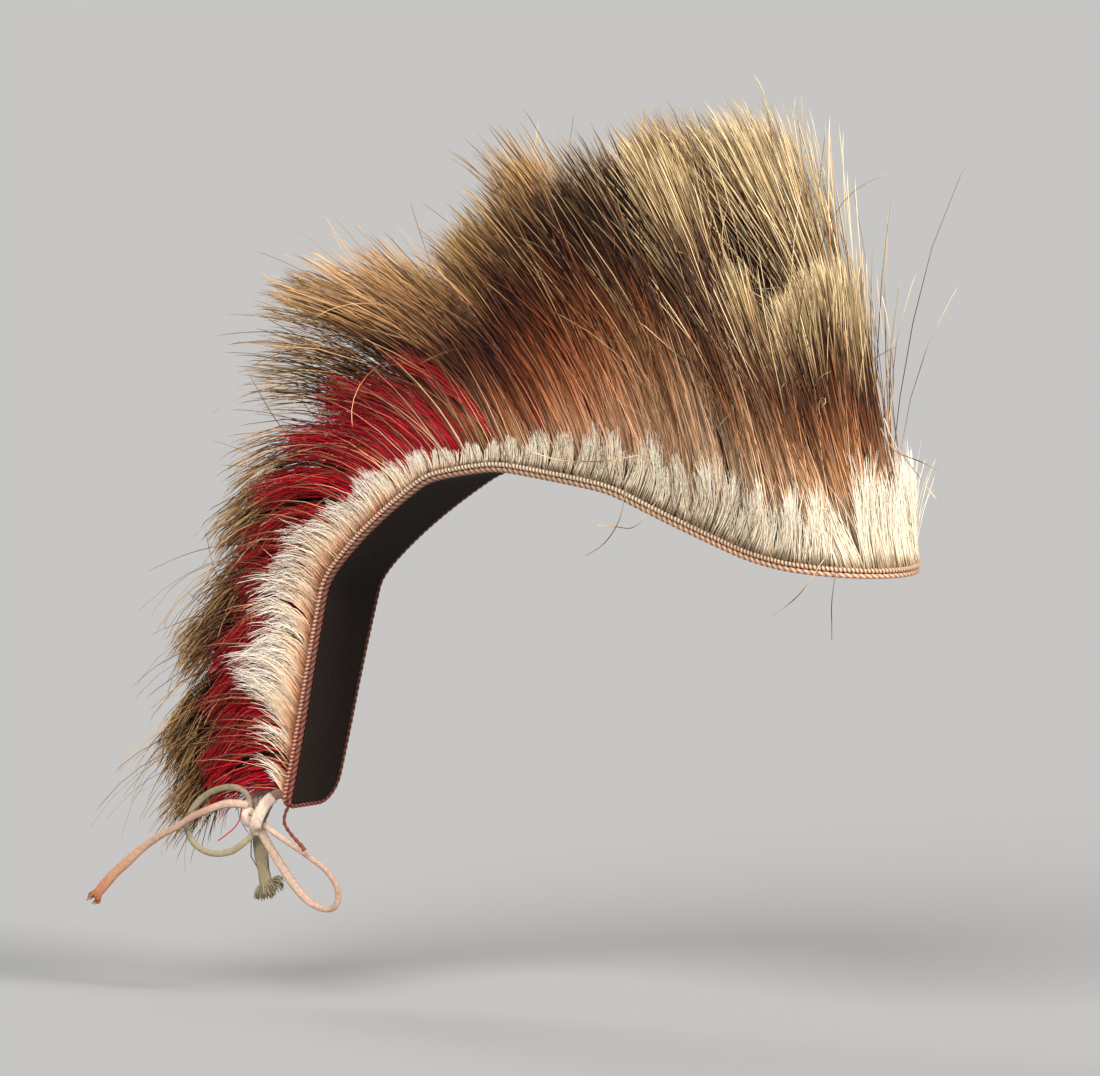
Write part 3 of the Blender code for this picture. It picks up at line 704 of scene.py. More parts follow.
def guard_finish():
    """Tan roots, near-black middle and cream tips, or rust-brown where the hair is warm."""
    made, tree, shader = finish("guard_hair_strands", roughness=0.42, specular=0.16)
    from_root = attribute(tree, "along")
    at = arithmetic(tree, "ADD", from_root, attribute(tree, "sooner"))
    cool = ramp(tree, at, [
        (0.0, 0.74, 0.53, 0.33), (0.13, 0.62, 0.39, 0.21), (0.22, 0.42, 0.21, 0.095),
        (0.31, 0.17, 0.058, 0.026), (0.39, 0.024, 0.009, 0.006), (0.66, 0.014, 0.006, 0.005),
        (0.76, 0.26, 0.135, 0.055), (0.84, 0.6, 0.43, 0.205), (1.0, 0.72, 0.56, 0.32),
    ])
    warm = ramp(tree, at, [
        (0.0, 0.7, 0.5, 0.31), (0.14, 0.66, 0.41, 0.21), (0.32, 0.58, 0.245, 0.092),
        (0.5, 0.26, 0.084, 0.032), (0.68, 0.05, 0.017, 0.009), (0.78, 0.42, 0.26, 0.12),
        (0.85, 0.63, 0.45, 0.22), (1.0, 0.72, 0.56, 0.33),
    ])
    straw = ramp(tree, at, [
        (0.0, 0.82, 0.66, 0.46), (0.3, 0.6, 0.41, 0.24), (0.48, 0.24, 0.115, 0.055),
        (0.66, 0.12, 0.052, 0.026), (0.8, 0.58, 0.41, 0.21), (1.0, 0.77, 0.61, 0.36),
    ])
    colour = mix(tree, attribute(tree, "warmth"), cool, warm)
    colour = mix(tree, attribute(tree, "pale"), colour, straw)
    station = attribute(tree, "station")
    tip_tint = ramp(tree, station, [
        (0.13, 1.0, 1.0, 1.0), (0.26, 0.73, 0.65, 0.49), (0.42, 0.68, 0.59, 0.42),
        (0.47, 0.88, 0.66, 0.53), (0.54, 0.72, 0.58, 0.43), (0.66, 0.62, 0.49, 0.36),
    ])
    colour = mix(tree, from_root, colour, tip_tint, "MULTIPLY")
    middle_tint = ramp(tree, station, [
        (0.13, 1.0, 0.94, 0.92), (0.24, 1.0, 0.8, 0.74), (0.33, 1.0, 0.6, 0.52),
        (0.42, 1.0, 0.62, 0.54), (0.5, 1.0, 0.88, 0.84),
    ])
    from_tip = arithmetic(tree, "SUBTRACT", 1.0, from_root)
    arch = arithmetic(tree, "MULTIPLY", from_root, from_tip)
    halfway = arithmetic(tree, "MULTIPLY", arch, ARCH_HEIGHT)
    colour = mix(tree, halfway, colour, middle_tint, "MULTIPLY")
    colour = varied(tree, colour, low=0.2, high=1.32)
    tree.links.new(colour, shader.inputs["Base Color"])
    return made


def deer_finish():
    """Cream white, peach at the roots near the tail."""
    made, tree, shader = finish("deer_hair_strands", roughness=0.5, specular=0.15)
    from_root = attribute(tree, "along")
    white = ramp(tree, from_root, [
        (0.0, 0.74, 0.54, 0.34), (0.18, 0.88, 0.75, 0.56), (1.0, 0.96, 0.89, 0.74),
    ])
    peach = ramp(tree, from_root, [
        (0.0, 0.56, 0.2, 0.1), (0.15, 0.72, 0.38, 0.21), (0.34, 0.87, 0.64, 0.44),
        (0.7, 0.93, 0.83, 0.7), (1.0, 0.94, 0.87, 0.78),
    ])
    colour = mix(tree, attribute(tree, "warmth"), white, peach)
    tree.links.new(varied(tree, colour, low=0.78, high=1.04), shader.inputs["Base Color"])
    return made


def red_finish():
    """Crimson dye, darker at the roots, with a painted sheen that makes a few strands lighter and
    more orange.
    """
    made, tree, shader = finish("red_hair_strands", roughness=0.42, specular=0.18)
    from_root = attribute(tree, "along")
    dye = ramp(tree, from_root, [
        (0.0, 0.4, 0.012, 0.014), (0.3, 0.62, 0.012, 0.026), (1.0, 0.42, 0.008, 0.018),
    ])
    # painted sheen: a few strands are drawn lighter and more orange along their whole length
    painted_sheen = ramp(tree, from_root, [(0.0, 0.62, 0.15, 0.07), (1.0, 0.66, 0.25, 0.14)])
    colour = mix(tree, attribute(tree, "warmth"), dye, painted_sheen)
    tree.links.new(varied(tree, colour, low=0.32, high=1.25), shader.inputs["Base Color"])
    return made


def textured(tree, shader, colour, scale, strength, distance, stretch=(1, 1, 1)):
    """Gives the shader this colour, mottled, and a fine relief."""
    spread = node(tree, "ShaderNodeMapping")
    spread.inputs["Scale"].default_value = stretch
    place = node(tree, "ShaderNodeTexCoord").outputs["Object"]
    tree.links.new(place, spread.inputs["Vector"])
    noise = node(tree, "ShaderNodeTexNoise")
    noise.inputs["Scale"].default_value = scale
    noise.inputs["Detail"].default_value = MOTTLE_DETAIL
    tree.links.new(spread.outputs[0], noise.inputs["Vector"])
    value = arithmetic(tree, "MULTIPLY_ADD", noise.outputs[0], MOTTLE_SPREAD, MOTTLE_LOW)
    tree.links.new(brightened(tree, colour, value), shader.inputs["Base Color"])
    bump = node(tree, "ShaderNodeBump")
    bump.inputs["Strength"].default_value = strength
    bump.inputs["Distance"].default_value = distance
    tree.links.new(noise.outputs[0], bump.inputs["Height"])
    tree.links.new(bump.outputs["Normal"], shader.inputs["Normal"])


def lace_finish(name, stops, roughness=0.7):
    """Soft leather whose colour runs along the lace."""
    made, tree, shader = finish(name, roughness, specular=0.25)
    colour = ramp(tree, attribute(tree, "along"), stops)
    textured(tree, shader, colour, scale=900.0, strength=0.35, distance=0.0004)
    return made


def rim_finish(name, groove, crest_tint, stops):
    """Thread whose colour changes along the strip, with painted shade between the crests and a
    painted highlight on them.
    """
    made, tree, shader = finish(name, roughness=0.7, specular=0.25)
    thread = ramp(tree, attribute(tree, "station"), stops)
    # painted shade darkens the thread between the crests, and a painted highlight lightens the
    # crests
    deep = mix(tree, 1.0, thread, groove, "MULTIPLY")
    bright = mix(tree, 1.0, thread, crest_tint, "SCREEN")
    colour = mix(tree, attribute(tree, "crest"), deep, bright)
    textured(tree, shader, colour, scale=1500.0, strength=0.3, distance=0.0003)
    return made


def mat_finish():
    """Dark plaited fibre, with painted shade between the coils that leaves their crests lighter."""
    made, tree, shader = finish("woven_mat", roughness=0.8, specular=0.2)
    # painted shade: the valleys between coils are five times darker than the crests
    fibre_with_painted_shade = mix(tree, attribute(tree, "crest"), (0.004, 0.003, 0.002), (0.02, 0.01, 0.007))
    textured(
        tree, shader, fibre_with_painted_shade, scale=700.0, strength=0.5, distance=0.0006, stretch=(1.0, 3.0, 3.0)
    )
    return made


GUARD_FINISH = guard_finish()
DEER_FINISH = deer_finish()
RED_FINISH = red_finish()

# The rows of hair

# (along, the guard hair's warmth), (along, the share of it that is pale as straw) and (along, how
# peach the deer hair is)
WARMTHS = [(0.0225, 1.0), (0.1485, 0.16), (0.15, 0.16), (0.4, 0.46), (0.65, 0.16)]
STRAW_SHARES = [(0.05, 0.36), (0.14, 0.2), (0.2, 0.05), (0.45, 0.06), (0.55, 0.2)]
PEACHES = [(0.48, 0.0), (0.64, 1.0)]
WARMTH_BY_GROUP = 0.16
WARMTH_SCATTER = 0.2
STRAWS_BY_GROUP = 0.08
STRAW_PALENESS = (0.5, 1.0)
SOONER_SCATTER = (-0.08, 0.08)
TINT_BY_GROUP = 0.05
OVERLAY_PALENESS = (0.4, 1.0)
OVERLAY_SOONER = (-0.2, 0.2)
PEACH_SCATTER = 0.25
PEACH_BY_GROUP = 0.07
# painted sheen: the share of red strands drawn lighter and more orange, and how strongly
PAINTED_SHEEN_SHARE = 0.1
PAINTED_SHEEN_BY = (0.4, 1.0)


def guard_tints(rng, along, y, group):
    """Warm brown at the front and, in part, over the crown, with pale straws among the rest."""
    count = len(along)
    warmth = interpolated(WARMTHS, along) + WARMTH_BY_GROUP * group
    warmth = np.clip(warmth + rng.normal(0, WARMTH_SCATTER, count), 0, 1)
    straws = interpolated(STRAW_SHARES, along) + STRAWS_BY_GROUP * group
    pale = (rng.random(count) < straws) * rng.uniform(*STRAW_PALENESS, count)
    sooner = np.where(y > 0, read(CREAM_SOONER, "left", along), read(CREAM_SOONER, "right", along))
    sooner = sooner + TINT_BY_GROUP * group + rng.uniform(*SOONER_SCATTER, count)
    return warmth, pale, sooner


def overlay_tints(rng, along, y, group):
    """Straw and rust from root to tip."""
    count = len(along)
    warmth = rng.random(count)
    return warmth, rng.uniform(*OVERLAY_PALENESS, count), rng.uniform(*OVERLAY_SOONER, count)


def deer_tints(rng, along, y, group):
    peach = interpolated(PEACHES, along)
    count = len(along)
    spread = peach * (rng.normal(0, PEACH_SCATTER, count) + PEACH_BY_GROUP * group)
    return np.clip(peach + spread, 0, 1), rng.random(count), TINT_BY_GROUP * group


def red_tints(rng, along, y, group):
    count = len(along)
    # painted sheen on a few strands, carried as their warmth
    painted_sheen = (rng.random(count) < PAINTED_SHEEN_SHARE) * rng.uniform(*PAINTED_SHEEN_BY, count)
    return painted_sheen, rng.random(count), TINT_BY_GROUP * group


GUARD_ROW = Row(
    finish=GUARD_FINISH, slot="guard_hair", tints_of=guard_tints, table=GUARD_HAIR,
    longest=GUARD_LENGTH, inset=turned_in(OUTER_INSET, INNER_INSET), depth=GUARD_DEPTH,
    lift=MAT_THICKNESS, flare=turned_in(OUTER_FLARE, INNER_FLARE), tufted=tufts(GUARD_TUFTS),
    lock=0.02, wisp=0.004, root_pull=0.1, lock_pull=0.38, wisp_pull=0.38, lock_lean=2.2,
    lock_turn=2.8, lock_length=0.08, point=0.12, ragged=0.09, stray=4.6, wave=3.6,
    root_radius=0.0002, thinning=0.28, steps=6,
)
OVERLAY_ROW = GUARD_ROW._replace(
    tints_of=overlay_tints, inset=even(0.4 * DEER_DEPTH), flare=even(6.0), root_pull=0.0,
    lock_pull=0.1, wisp_pull=0.1, ragged=0.2, stray=7.0, root_radius=0.00014, steps=9,
)
DEER_ROW = Row(
    finish=DEER_FINISH, slot="deer_hair", tints_of=deer_tints, table=DEER_HAIR,
    longest=DEER_LENGTH, inset=even(DEER_INSET), depth=DEER_DEPTH, lift=RIM_TOP,
    flare=even(7.0), tufted=tufts(DEER_TUFTS), lock=0.0095, wisp=0.0027, root_pull=0.0,
    lock_pull=0.3, wisp_pull=0.26, lock_lean=3.0, lock_turn=7.0, lock_length=0.2, point=0.36,
    ragged=0.17, stray=6.5, wave=5.0, late=1.8, root_radius=0.00015, thinning=0.65, steps=5,
)
RED_OUTER = Row(
    finish=RED_FINISH, slot="red_hair", tints_of=red_tints, table=RED_HAIR, longest=RED_LENGTH,
    inset=even(OUTER_INSET), depth=RED_DEPTH, lift=MAT_THICKNESS, flare=even(OUTER_FLARE),
    tufted=even(1.0), lock=0.011, wisp=0.003, root_pull=0.1, lock_pull=0.3, wisp_pull=0.3,
    lock_lean=2.5, lock_turn=5.0, lock_length=0.14, point=0.12, ragged=0.13, stray=4.0, wave=2.5,
    root_radius=0.00016, thinning=0.4, steps=5,
)
RED_INNER = RED_OUTER._replace(inset=even(INNER_INSET), flare=even(INNER_FLARE))
FLYAWAY_ROW = GUARD_ROW._replace(
    root_pull=0.0, lock_pull=0.1, wisp_pull=0.0, ragged=0.22, stray=6.0, wave=4.0, curly=0.5,
    curls_from=(0.2, 0.5), bias=4.0, root_radius=0.00017, steps=18,
)
CURLY_ROW = FLYAWAY_ROW._replace(
    longest=0.84 * GUARD_LENGTH, ragged=0.36, stray=3.0, wave=2.0, curly=1.0, curl=105.0,
    curls_from=(0.62, 0.82), bias=0.0, steps=30,
)
HALF_ROW = ROWS_END * BASE_LENGTH - FRONT_RADIUS + QUARTER_TURN * FRONT_RADIUS

# (share of the row from the tail's end, density): thinner over the nape, where the hair fans out
GUARD_DENSITY = [
    (0.0, 0.1), (0.035, 0.2), (0.05, 0.55), (0.24, 0.55), (0.31, 0.28), (0.37, 0.18), (0.43, 0.24),
    (0.455, 0.5), (0.475, 0.85), (0.51, 0.9), (0.55, 0.7), (0.61, 0.7), (0.66, 1.0), (1.0, 1.0),
]
DEER_DENSITY = [
    (0.0, 1.0), (0.014, 1.0), (0.018, 0.12), (0.042, 0.12), (0.052, 1.1), (0.35, 1.1), (0.5, 0.9),
    (0.65, 0.9), (1.0, 1.15),
]
FLYAWAY_DENSITY = [
    (0.0, 0.0), (0.04, 1.0), (0.7, 1.2), (0.84, 0.8), (0.88, 0.1), (0.92, 0.0), (1.0, 0.0),
]
OVERLAY_DENSITY = [
    (0.0, 0.0), (0.04, 0.8), (0.25, 0.8), (0.45, 1.2), (0.56, 0.8), (0.75, 1.1), (0.93, 1.3),
    (1.0, 0.1),
]
# (share of the red row from its front end, density)
RED_FRONT_DENSITY = [(0.0, 0.3), (0.4, 0.8), (0.6, 1.8), (1.0, 1.6)]
RED_TAIL_DENSITY = [
    (0.0, 0.4), (0.035, 0.6), (0.045, 0.12), (0.105, 0.2), (0.14, 1.1), (0.5, 1.1), (1.0, 0.9),
]

# Strands on each side, from the first share of the row to the last
GuardHalf = namedtuple("GuardHalf", "name first last strands")
GUARD_HALVES = (GuardHalf("back", 0.0, 0.5, 1900), GuardHalf("front", 0.5, 1.0, 4300))
FLYAWAYS = 140
CURLS = 44
CURLS_SPAN = (0.8, 0.955)  # shares of the row from the tail's end
OVERLAYS = 250
DEER_STRANDS = 3700
RedPart = namedtuple("RedPart", "name row span strands density")
RED_PARTS = (
    RedPart("front", RED_INNER, RED_FRONT, 1050, RED_FRONT_DENSITY),
    RedPart("tail", RED_OUTER, RED_TAIL, 1900, RED_TAIL_DENSITY),
)
SIDES = (("right", -1.0, 11), ("left", 1.0, 23))  # name, the way outwards and seed


def hair_piece(rng, name, row, share, outward, node_name=None, span=None):
    """Combed hair on one side, along a span of the strip or from the tail's end to the front."""
    def roots_of(share, jitter):
        if span:
            return span_row(span, share, row.inset, outward, jitter)
        return half_row(share, row.inset, outward, jitter)

    length = (span[1] - span[0]) * BASE_LENGTH if span else HALF_ROW
    piece = strand_mesh(name, comb(rng, row, share, roots_of, length), row.finish)
    if node_name:
        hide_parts(node_name)


def side_rows(rng, side, outward):
    """Every row of hair on one side."""
    node_name = f"guard_hair_{side}"
    for half in GUARD_HALVES:
        share = sown(rng, half.strands, GUARD_DENSITY, half.first, half.last)
        hair_piece(rng, f"{node_name}_{half.name}", GUARD_ROW, share, outward, node_name)
    share = sown(rng, FLYAWAYS, FLYAWAY_DENSITY)
    hair_piece(rng, f"flyaway_hair_{side}", FLYAWAY_ROW, share, outward)
    share = rng.uniform(*CURLS_SPAN, CURLS)
    hair_piece(rng, f"curly_hair_{side}", CURLY_ROW, share, outward)
    share = sown(rng, OVERLAYS, OVERLAY_DENSITY)
    hair_piece(rng, f"overlay_hair_{side}", OVERLAY_ROW, share, outward)

    node_name = f"deer_hair_{side}"
    share = sown(rng, DEER_STRANDS, DEER_DENSITY)
    hair_piece(rng, f"{node_name}_strands", DEER_ROW, share, outward, node_name)
    for part in RED_PARTS:
        node_name = f"red_hair_{part.name}_{side}"
        share = sown(rng, part.strands, part.density)
        name = f"{node_name}_strands"
        hair_piece(rng, name, part.row, share, outward, node_name, part.span)


def hair_rows():
    """Every row of hair, on both sides."""
    for side, outward, seed in SIDES:
        side_rows(np.random.default_rng(seed), side, outward)


STRAY_RADIUS = 0.00018
STRAY_STEPS = 14
STRAY_CHANCE = (0.1, 0.9)
STRAY_ROUTES = [  # in millimetres from the origin
    [(78.5, 24, 74.6), (76.9, 24, 108.0), (74.1, 24, 124.6), (71.3, 24, 130.0), (68.6, 24, 133.5)],
    [(53.7, -29, -1.4), (51.3, -30, -13.2), (44.9, -29, -21.2), (37.4, -29, -25.9)],
    [(66.2, -28, -4.8), (57.7, -30, -14.9), (49.3, -29, -15.6), (40.2, -29, -15.4)],
    [(128.9, -26, -22.4), (124.1, -31, -32.3), (118.2, -31, -37.6), (111.4, -31, -41.9)],
    [(132.0, -24, -25.9), (134.2, -30, -35.9), (134.2, -30, -43.0), (134.2, -30, -49.3)],
    [(133.2, 4, 21.8), (137.2, 4, 13.6), (144.3, 4, 5.6), (154.3, 4, -5.0)],
    [(134.2, 0, 18.8), (139.8, 0, 11.7), (149.7, 0, 8.5), (158.9, 0, 4.9)],
    [(80.0, 10, 89.7), (88.0, 10, 82.1), (97.1, 10, 72.8), (101.0, 8, 64.0)],
    [(105.0, -26, 62.1), (91.1, -26, 67.8), (77.2, -26, 68.8), (70.0, -25, 68.0)],
    [(18.8, -34, 8.4), (30.7, -34, 6.0), (46.6, -34, 6.4), (62.5, -34, 9.2)],
    [(131.1, 6, 61.7), (133.5, 6, 51.8), (135.5, 6, 35.1), (133.5, 6, 18.3)],
]


def stray_hairs():
    """Single hairs that have come loose, each along its own route."""
    points = np.stack([
        resampled(curved(np.array(route) * MM), steps=STRAY_STEPS) for route in STRAY_ROUTES
    ])
    count = len(points)
    radius = np.full((count, STRAY_STEPS + 1), STRAY_RADIUS)
    none = np.zeros(count)
    hairs = Hairs(points, radius, np.linspace(*STRAY_CHANCE, count), none, none, 1 + none, none)
    strand_mesh("stray_hairs", hairs, GUARD_FINISH)


# The strip and its rim

RIM_STEP = 0.00038
RIM_OUTLINE_STEP = 0.002
MAT_COLUMN = 0.0035
MAT_COILS = 9
COIL_ROWS = 4
COIL_HEIGHT = 0.0004
CAMBER = 0.02  # how fast the underside falls, past this share of the half width
CAMBER_FROM = 0.6
CORNER_STEPS = 9
ARC_STEPS = 24
THREAD_SIDES = 8
CREST_BULGE = 1.22

# up is the height of the cord's middle, and relief its grooves' depth as a share of its radius.
# groove is painted shade between the crests, and crest_tint a painted highlight on them
Rim = namedtuple("Rim", "name up plies pitch relief groove crest_tint stops")
RIMS = (
    # The lower cord's salmon is its own colour; behind the front it is darker than the upper cord
    # partly as painted shade.
    Rim("lower", RIM_CORD_RADIUS, 2, 0.0023, 0.26, (0.3, 0.22, 0.18), (0.06, 0.05, 0.04), [
        (0.0, 0.62, 0.37, 0.24), (0.14, 0.5, 0.27, 0.16), (0.28, 0.4, 0.26, 0.15),
        (0.5, 0.36, 0.2, 0.12), (0.62, 0.24, 0.095, 0.055), (0.76, 0.16, 0.038, 0.02),
        (1.0, 0.2, 0.03, 0.014),
    ]),
    Rim("upper", 3 * RIM_CORD_RADIUS + GAP, 1, 0.0014, 0.34, (0.1, 0.065, 0.05),
        (0.16, 0.14, 0.11), [
        (0.0, 0.56, 0.33, 0.2), (0.14, 0.46, 0.27, 0.15), (0.28, 0.56, 0.41, 0.26),
        (0.5, 0.66, 0.49, 0.33), (0.62, 0.68, 0.42, 0.28), (0.76, 0.54, 0.23, 0.13),
        (1.0, 0.42, 0.08, 0.034),
    ]),
)


def outline_side(outward, inset, step):
    """An outline from the tail's end to the front tip, inset inside the rim, on one side."""
    corner = max((TAIL_CORNER_LEFT if outward > 0 else TAIL_CORNER_RIGHT) - inset, 0.0)
    end = BASE_LENGTH - inset
    turn = np.linspace(QUARTER_TURN, 0, CORNER_STEPS)
    tail_s = end - corner * (1 - np.sin(turn))
    tail_y = half_width(tail_s) - inset - corner * (1 - np.cos(turn))
    count = round((BASE_LENGTH - FRONT_RADIUS) / step)
    side_s = np.linspace(end - corner, FRONT_RADIUS, count + 2)[1:-1]
    side_y = half_width(side_s) - inset
    arc = np.linspace(0, QUARTER_TURN, ARC_STEPS)
    arc_s = FRONT_RADIUS - (FRONT_RADIUS - inset) * np.sin(arc)
    arc_y = (FRONT_RADIUS - inset) * np.cos(arc)
    y = outward * np.concatenate([tail_y, side_y, arc_y])
    return np.concatenate([tail_s, side_s, arc_s]), y


def rim_path(up):
    """Distances and points of a closed line round the strip, along the rim cords' middle."""
    right = np.stack(outline_side(-1.0, RIM_CORD_RADIUS, RIM_OUTLINE_STEP), -1)
    left = np.stack(outline_side(1.0, RIM_CORD_RADIUS, RIM_OUTLINE_STEP), -1)
    flat = np.concatenate([right, left[::-1][1:], right[:1]])
    line = resampled(np.column_stack([flat, np.zeros(len(flat))]), RIM_STEP)[:-1]
    return line[:, 0], on_strip(line[:, 0], line[:, 1], up)


def round_section(radius):
    """Round sections, whose radius is given at each point and each side."""
    theta = circle(THREAD_SIDES)
    return radius[..., None] * np.stack([np.cos(theta), np.sin(theta)], -1)


def twisted(plies, twist):
    """1 on the crests of plies and 0 between them, at each point and each side."""
    return 0.5 + 0.5 * np.cos(plies * circle(THREAD_SIDES)[None] - twist)


def rims():
    """Two cords round the strip, one twisted of two plies and one whipped with a close thread."""
    for rim in RIMS:
        s, path = rim_path(rim.up)
        turns = round(len(path) * RIM_STEP / rim.pitch)
        crest = twisted(rim.plies, np.arange(len(path))[:, None] * FULL_TURN * turns / len(path))
        shape = round_section(RIM_CORD_RADIUS * (CREST_BULGE - rim.relief * (1 - crest)))
        marks = {"crest": crest, "station": (s / BASE_LENGTH)[:, None]}
        thread = rim_finish(f"{rim.name}_rim", rim.groove, rim.crest_tint, rim.stops)
        name = f"rim_cord_{rim.name}"
        piece = swept(f"{name}_thread", path, shape, thread, closed=True, marks=marks)
        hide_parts(name)


def coil_grid(outward, share):
    """Distances and sideways places on half the strip, from its edge (0) to its middle (1)."""
    s, y = outline_side(outward, 2 * RIM_CORD_RADIUS + GAP, MAT_COLUMN)
    spine_s = np.maximum(s, FRONT_RADIUS)
    return s[:, None] + (spine_s - s)[:, None] * share, y[:, None] * (1 - share)


def mat():
    """The strip itself, as coils of plaited cord sewn edge to edge round its middle."""
    rows = MAT_COILS * COIL_ROWS
    share = np.arange(rows + 1) / rows
    bulge = np.abs(np.sin(share * MAT_COILS * math.pi))
    grid_s, grid_y = (
        np.concatenate([right, left[:, ::-1]], axis=1)
        for right, left in zip(coil_grid(-1.0, share), coil_grid(1.0, share))
    )
    lift = np.concatenate([bulge, bulge[::-1]])[None]
    top = on_strip(grid_s, grid_y, MAT_THICKNESS - COIL_HEIGHT * (1 - lift))
    camber = CAMBER * np.maximum(np.abs(grid_y) - CAMBER_FROM * half_width(grid_s), 0)
    bottom = on_strip(grid_s, grid_y, COIL_HEIGHT * (1 - lift) - camber)
    loop = np.concatenate([top, bottom[:, ::-1]], axis=1)
    crest = np.concatenate([lift + 0 * grid_s, (lift + 0 * grid_s)[:, ::-1]], axis=1)
    count, sides = loop.shape[:2]
    ring, side, turn = ring_grid(count - 1, sides)
    corners = np.stack([ring + turn, ring + side, ring + sides + side, ring + sides + turn], -1)
    sizes = np.append(np.full(corners.size // 4, 4), sides)
    corners = np.concatenate([corners.ravel(), np.arange(sides)])
    loop = loop.reshape(-1, 3)
    piece = new_piece("woven_strip", loop, corners, sizes, mat_finish())
    give_attribute(piece, "crest", crest)
    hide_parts("base_mat")


# The lace and the threads

LACE_STEP = 0.0006
LACE_SIDES = 12
GROOVED_SIDES = 24
SQUARENESS = 0.85  # the power that flattens a section's sides
LEAST_END = 0.02  # of a rounded end, before its root is taken
LACE_WIDTH = 1.05
UNEVEN_POINTS = 12
UNEVENNESS = 0.07
DRIFT_POINTS = 9
DRIFT = 1.2  # radians
GROOVES = ((1.0, 7, 1.0), (0.6, 4, -2.0))  # depth, count and share of the drift
LACE_SEED = 5
FRAY_WAY_STEPS = 7  # of the lace, that give its way at its end
FRAY_STEPS = 8
FRAY_SIDES = 5
FRAY_SCATTER = 0.18
FRAY_DEEP_SCATTER = 0.25
FRAY_CURVE = (1.6, 1.4)  # how far the fibres open at the cut end, and how much they close again
FRAY_LENGTHS = (0.55, 1.15)
FRAY_THICKNESSES = (0.7, 1.3)
FRAY_TAPER = 0.6

PALE_SKIN = (0.42, 0.3, 0.225)
PINK_SKIN = (0.34, 0.21, 0.155)
OLIVE_SKIN = (0.17, 0.14, 0.085)
ORANGE_SKIN = (0.27, 0.095, 0.042)
PALE_LACE = lace_finish("pale_lace", [(0, *PALE_SKIN), (0.6, *PINK_SKIN), (1, *PALE_SKIN)])
BRIGHT_LACE = lace_finish("bright_lace", [(0, 0.5, 0.38, 0.31), (1, 0.48, 0.37, 0.29)])
OLIVE_LACE = lace_finish(
    "olive_lace", [(0, 0.3, 0.21, 0.155), (0.2, *OLIVE_SKIN), (1, 0.26, 0.215, 0.135)]
)
TIPPED_LACE = lace_finish("tipped_lace", [
    (0, *PALE_SKIN), (0.25, 0.3, 0.18, 0.13), (0.6, 0.33, 0.205, 0.135), (0.85, 0.32, 0.16, 0.092),
    (1, *ORANGE_SKIN),
])
SHADED_LACE = lace_finish("shaded_lace", [(0, 0.16, 0.075, 0.052), (1, 0.32, 0.22, 0.175)])
ROUGH_LACE = lace_finish("rough_lace", [(0, 0.165, 0.135, 0.085), (1, 0.165, 0.135, 0.08)], 0.9)
ORANGE_TIP = lace_finish("orange_tip", [(0, *ORANGE_SKIN), (1, 0.22, 0.07, 0.03)], 0.9)

# widths are (share of the length, factor), flat is the depth as a share of the radius, and ridges
# the depth of lengthwise grooves as a share. rounded laces have a round end
Lace = namedtuple(
    "Lace", "node_name route radius finish widths flat rounded ridges", defaults=(0.72, False, 0.0)
)
LOOP_BACK = Lace(
    "bow_loop_back", LOOP_BACK_ROUTE, LACE_RADIUS, OLIVE_LACE,
    [(0, 0.8), (0.2, 1.0), (0.4, 0.95), (1, 0.85)], flat=0.6,
)
LOOP_FRONT = Lace(
    "bow_loop_front", LOOP_FRONT_ROUTE, LACE_RADIUS, PALE_LACE,
    [(0, 1.3), (0.25, 1.3), (0.42, 0.95), (0.8, 0.85), (1, 0.95)], flat=0.6,
)
END_LONG = Lace(
    "lace_end_long", END_LONG_ROUTE, LACE_END_RADIUS, TIPPED_LACE,
    [(0, 1.1), (0.2, 1.0), (0.36, 0.8), (0.6, 0.95), (0.85, 1.3), (1, 1.2)], rounded=True,
)
END_SHORT = Lace(
    "lace_end_short", END_SHORT_ROUTE, SHORT_END_RADIUS, ROUGH_LACE,
    [(0, 1.15), (0.5, 1.3), (1, 1.35)], flat=0.66, rounded=True, ridges=0.06,
)
STRAPS = (
    Lace("tie_strap_right", STRAP_RIGHT_ROUTE, STRAP_RADIUS, SHADED_LACE,
         [(0, 1.0), (0.3, 1.1), (1, 0.9)]),
    Lace("tie_strap_left", STRAP_LEFT_ROUTE, STRAP_RADIUS, SHADED_LACE, [(0, 1), (1, 1)]),
)

# length, half_width, half_depth and thickness are in millimetres and fan in degrees. back counts
# the lace's steps from its end, and cleft is the bare share in the fan's middle
Fray = namedtuple(
    "Fray", "name node_name finish fibres length half_width half_depth fan thickness back cleft"
)
LONG_FRAY = Fray(
    "lace_end_long_tip", "lace_end_long", ORANGE_TIP, 40, 3.6, 1.2, 0.5, (-14, 16), 0.42, 4, 0.5
)
SHORT_FRAY = Fray(
    "lace_end_short_fray", "lace_end_short", ROUGH_LACE, 190, 5.0, 2.0, 0.9, (-34, 76), 0.36, 6, 0.0
)

# The knot, whose lengths are in millimetres
KNOT_COIL_POINTS = 90
KNOT_COIL_TURNS = 2.3
KNOT_COIL_RADII = (2.1, 1.9)
KNOT_COIL_RISE = 2.3  # in each turn
KNOT_COIL_START = (-0.4, -0.6)  # ahead of and above the knot's middle
KNOT_COIL_SECTION = (1.3, 0.85)
KNOT_CROSSING_ROUTE = [
    (6.6, 0.6, 9.2), (5.2, -1.0, 7.6), (4.0, -2.4, 5.0), (2.8, -3.2, 2.2), (1.8, -3.0, -0.6),
    (1.1, -1.6, -2.0), (0.8, 0.6, -2.2),
]
KNOT_CROSSING_SECTION = (2.1, 0.7)
KNOT_FOLD_MIDDLE = (-1.8, -1.7, 2.2)
KNOT_FOLD_SIZE = (2.6, 1.7, 3.5)
FOLD_RINGS = 25
FOLD_SIDES = 32
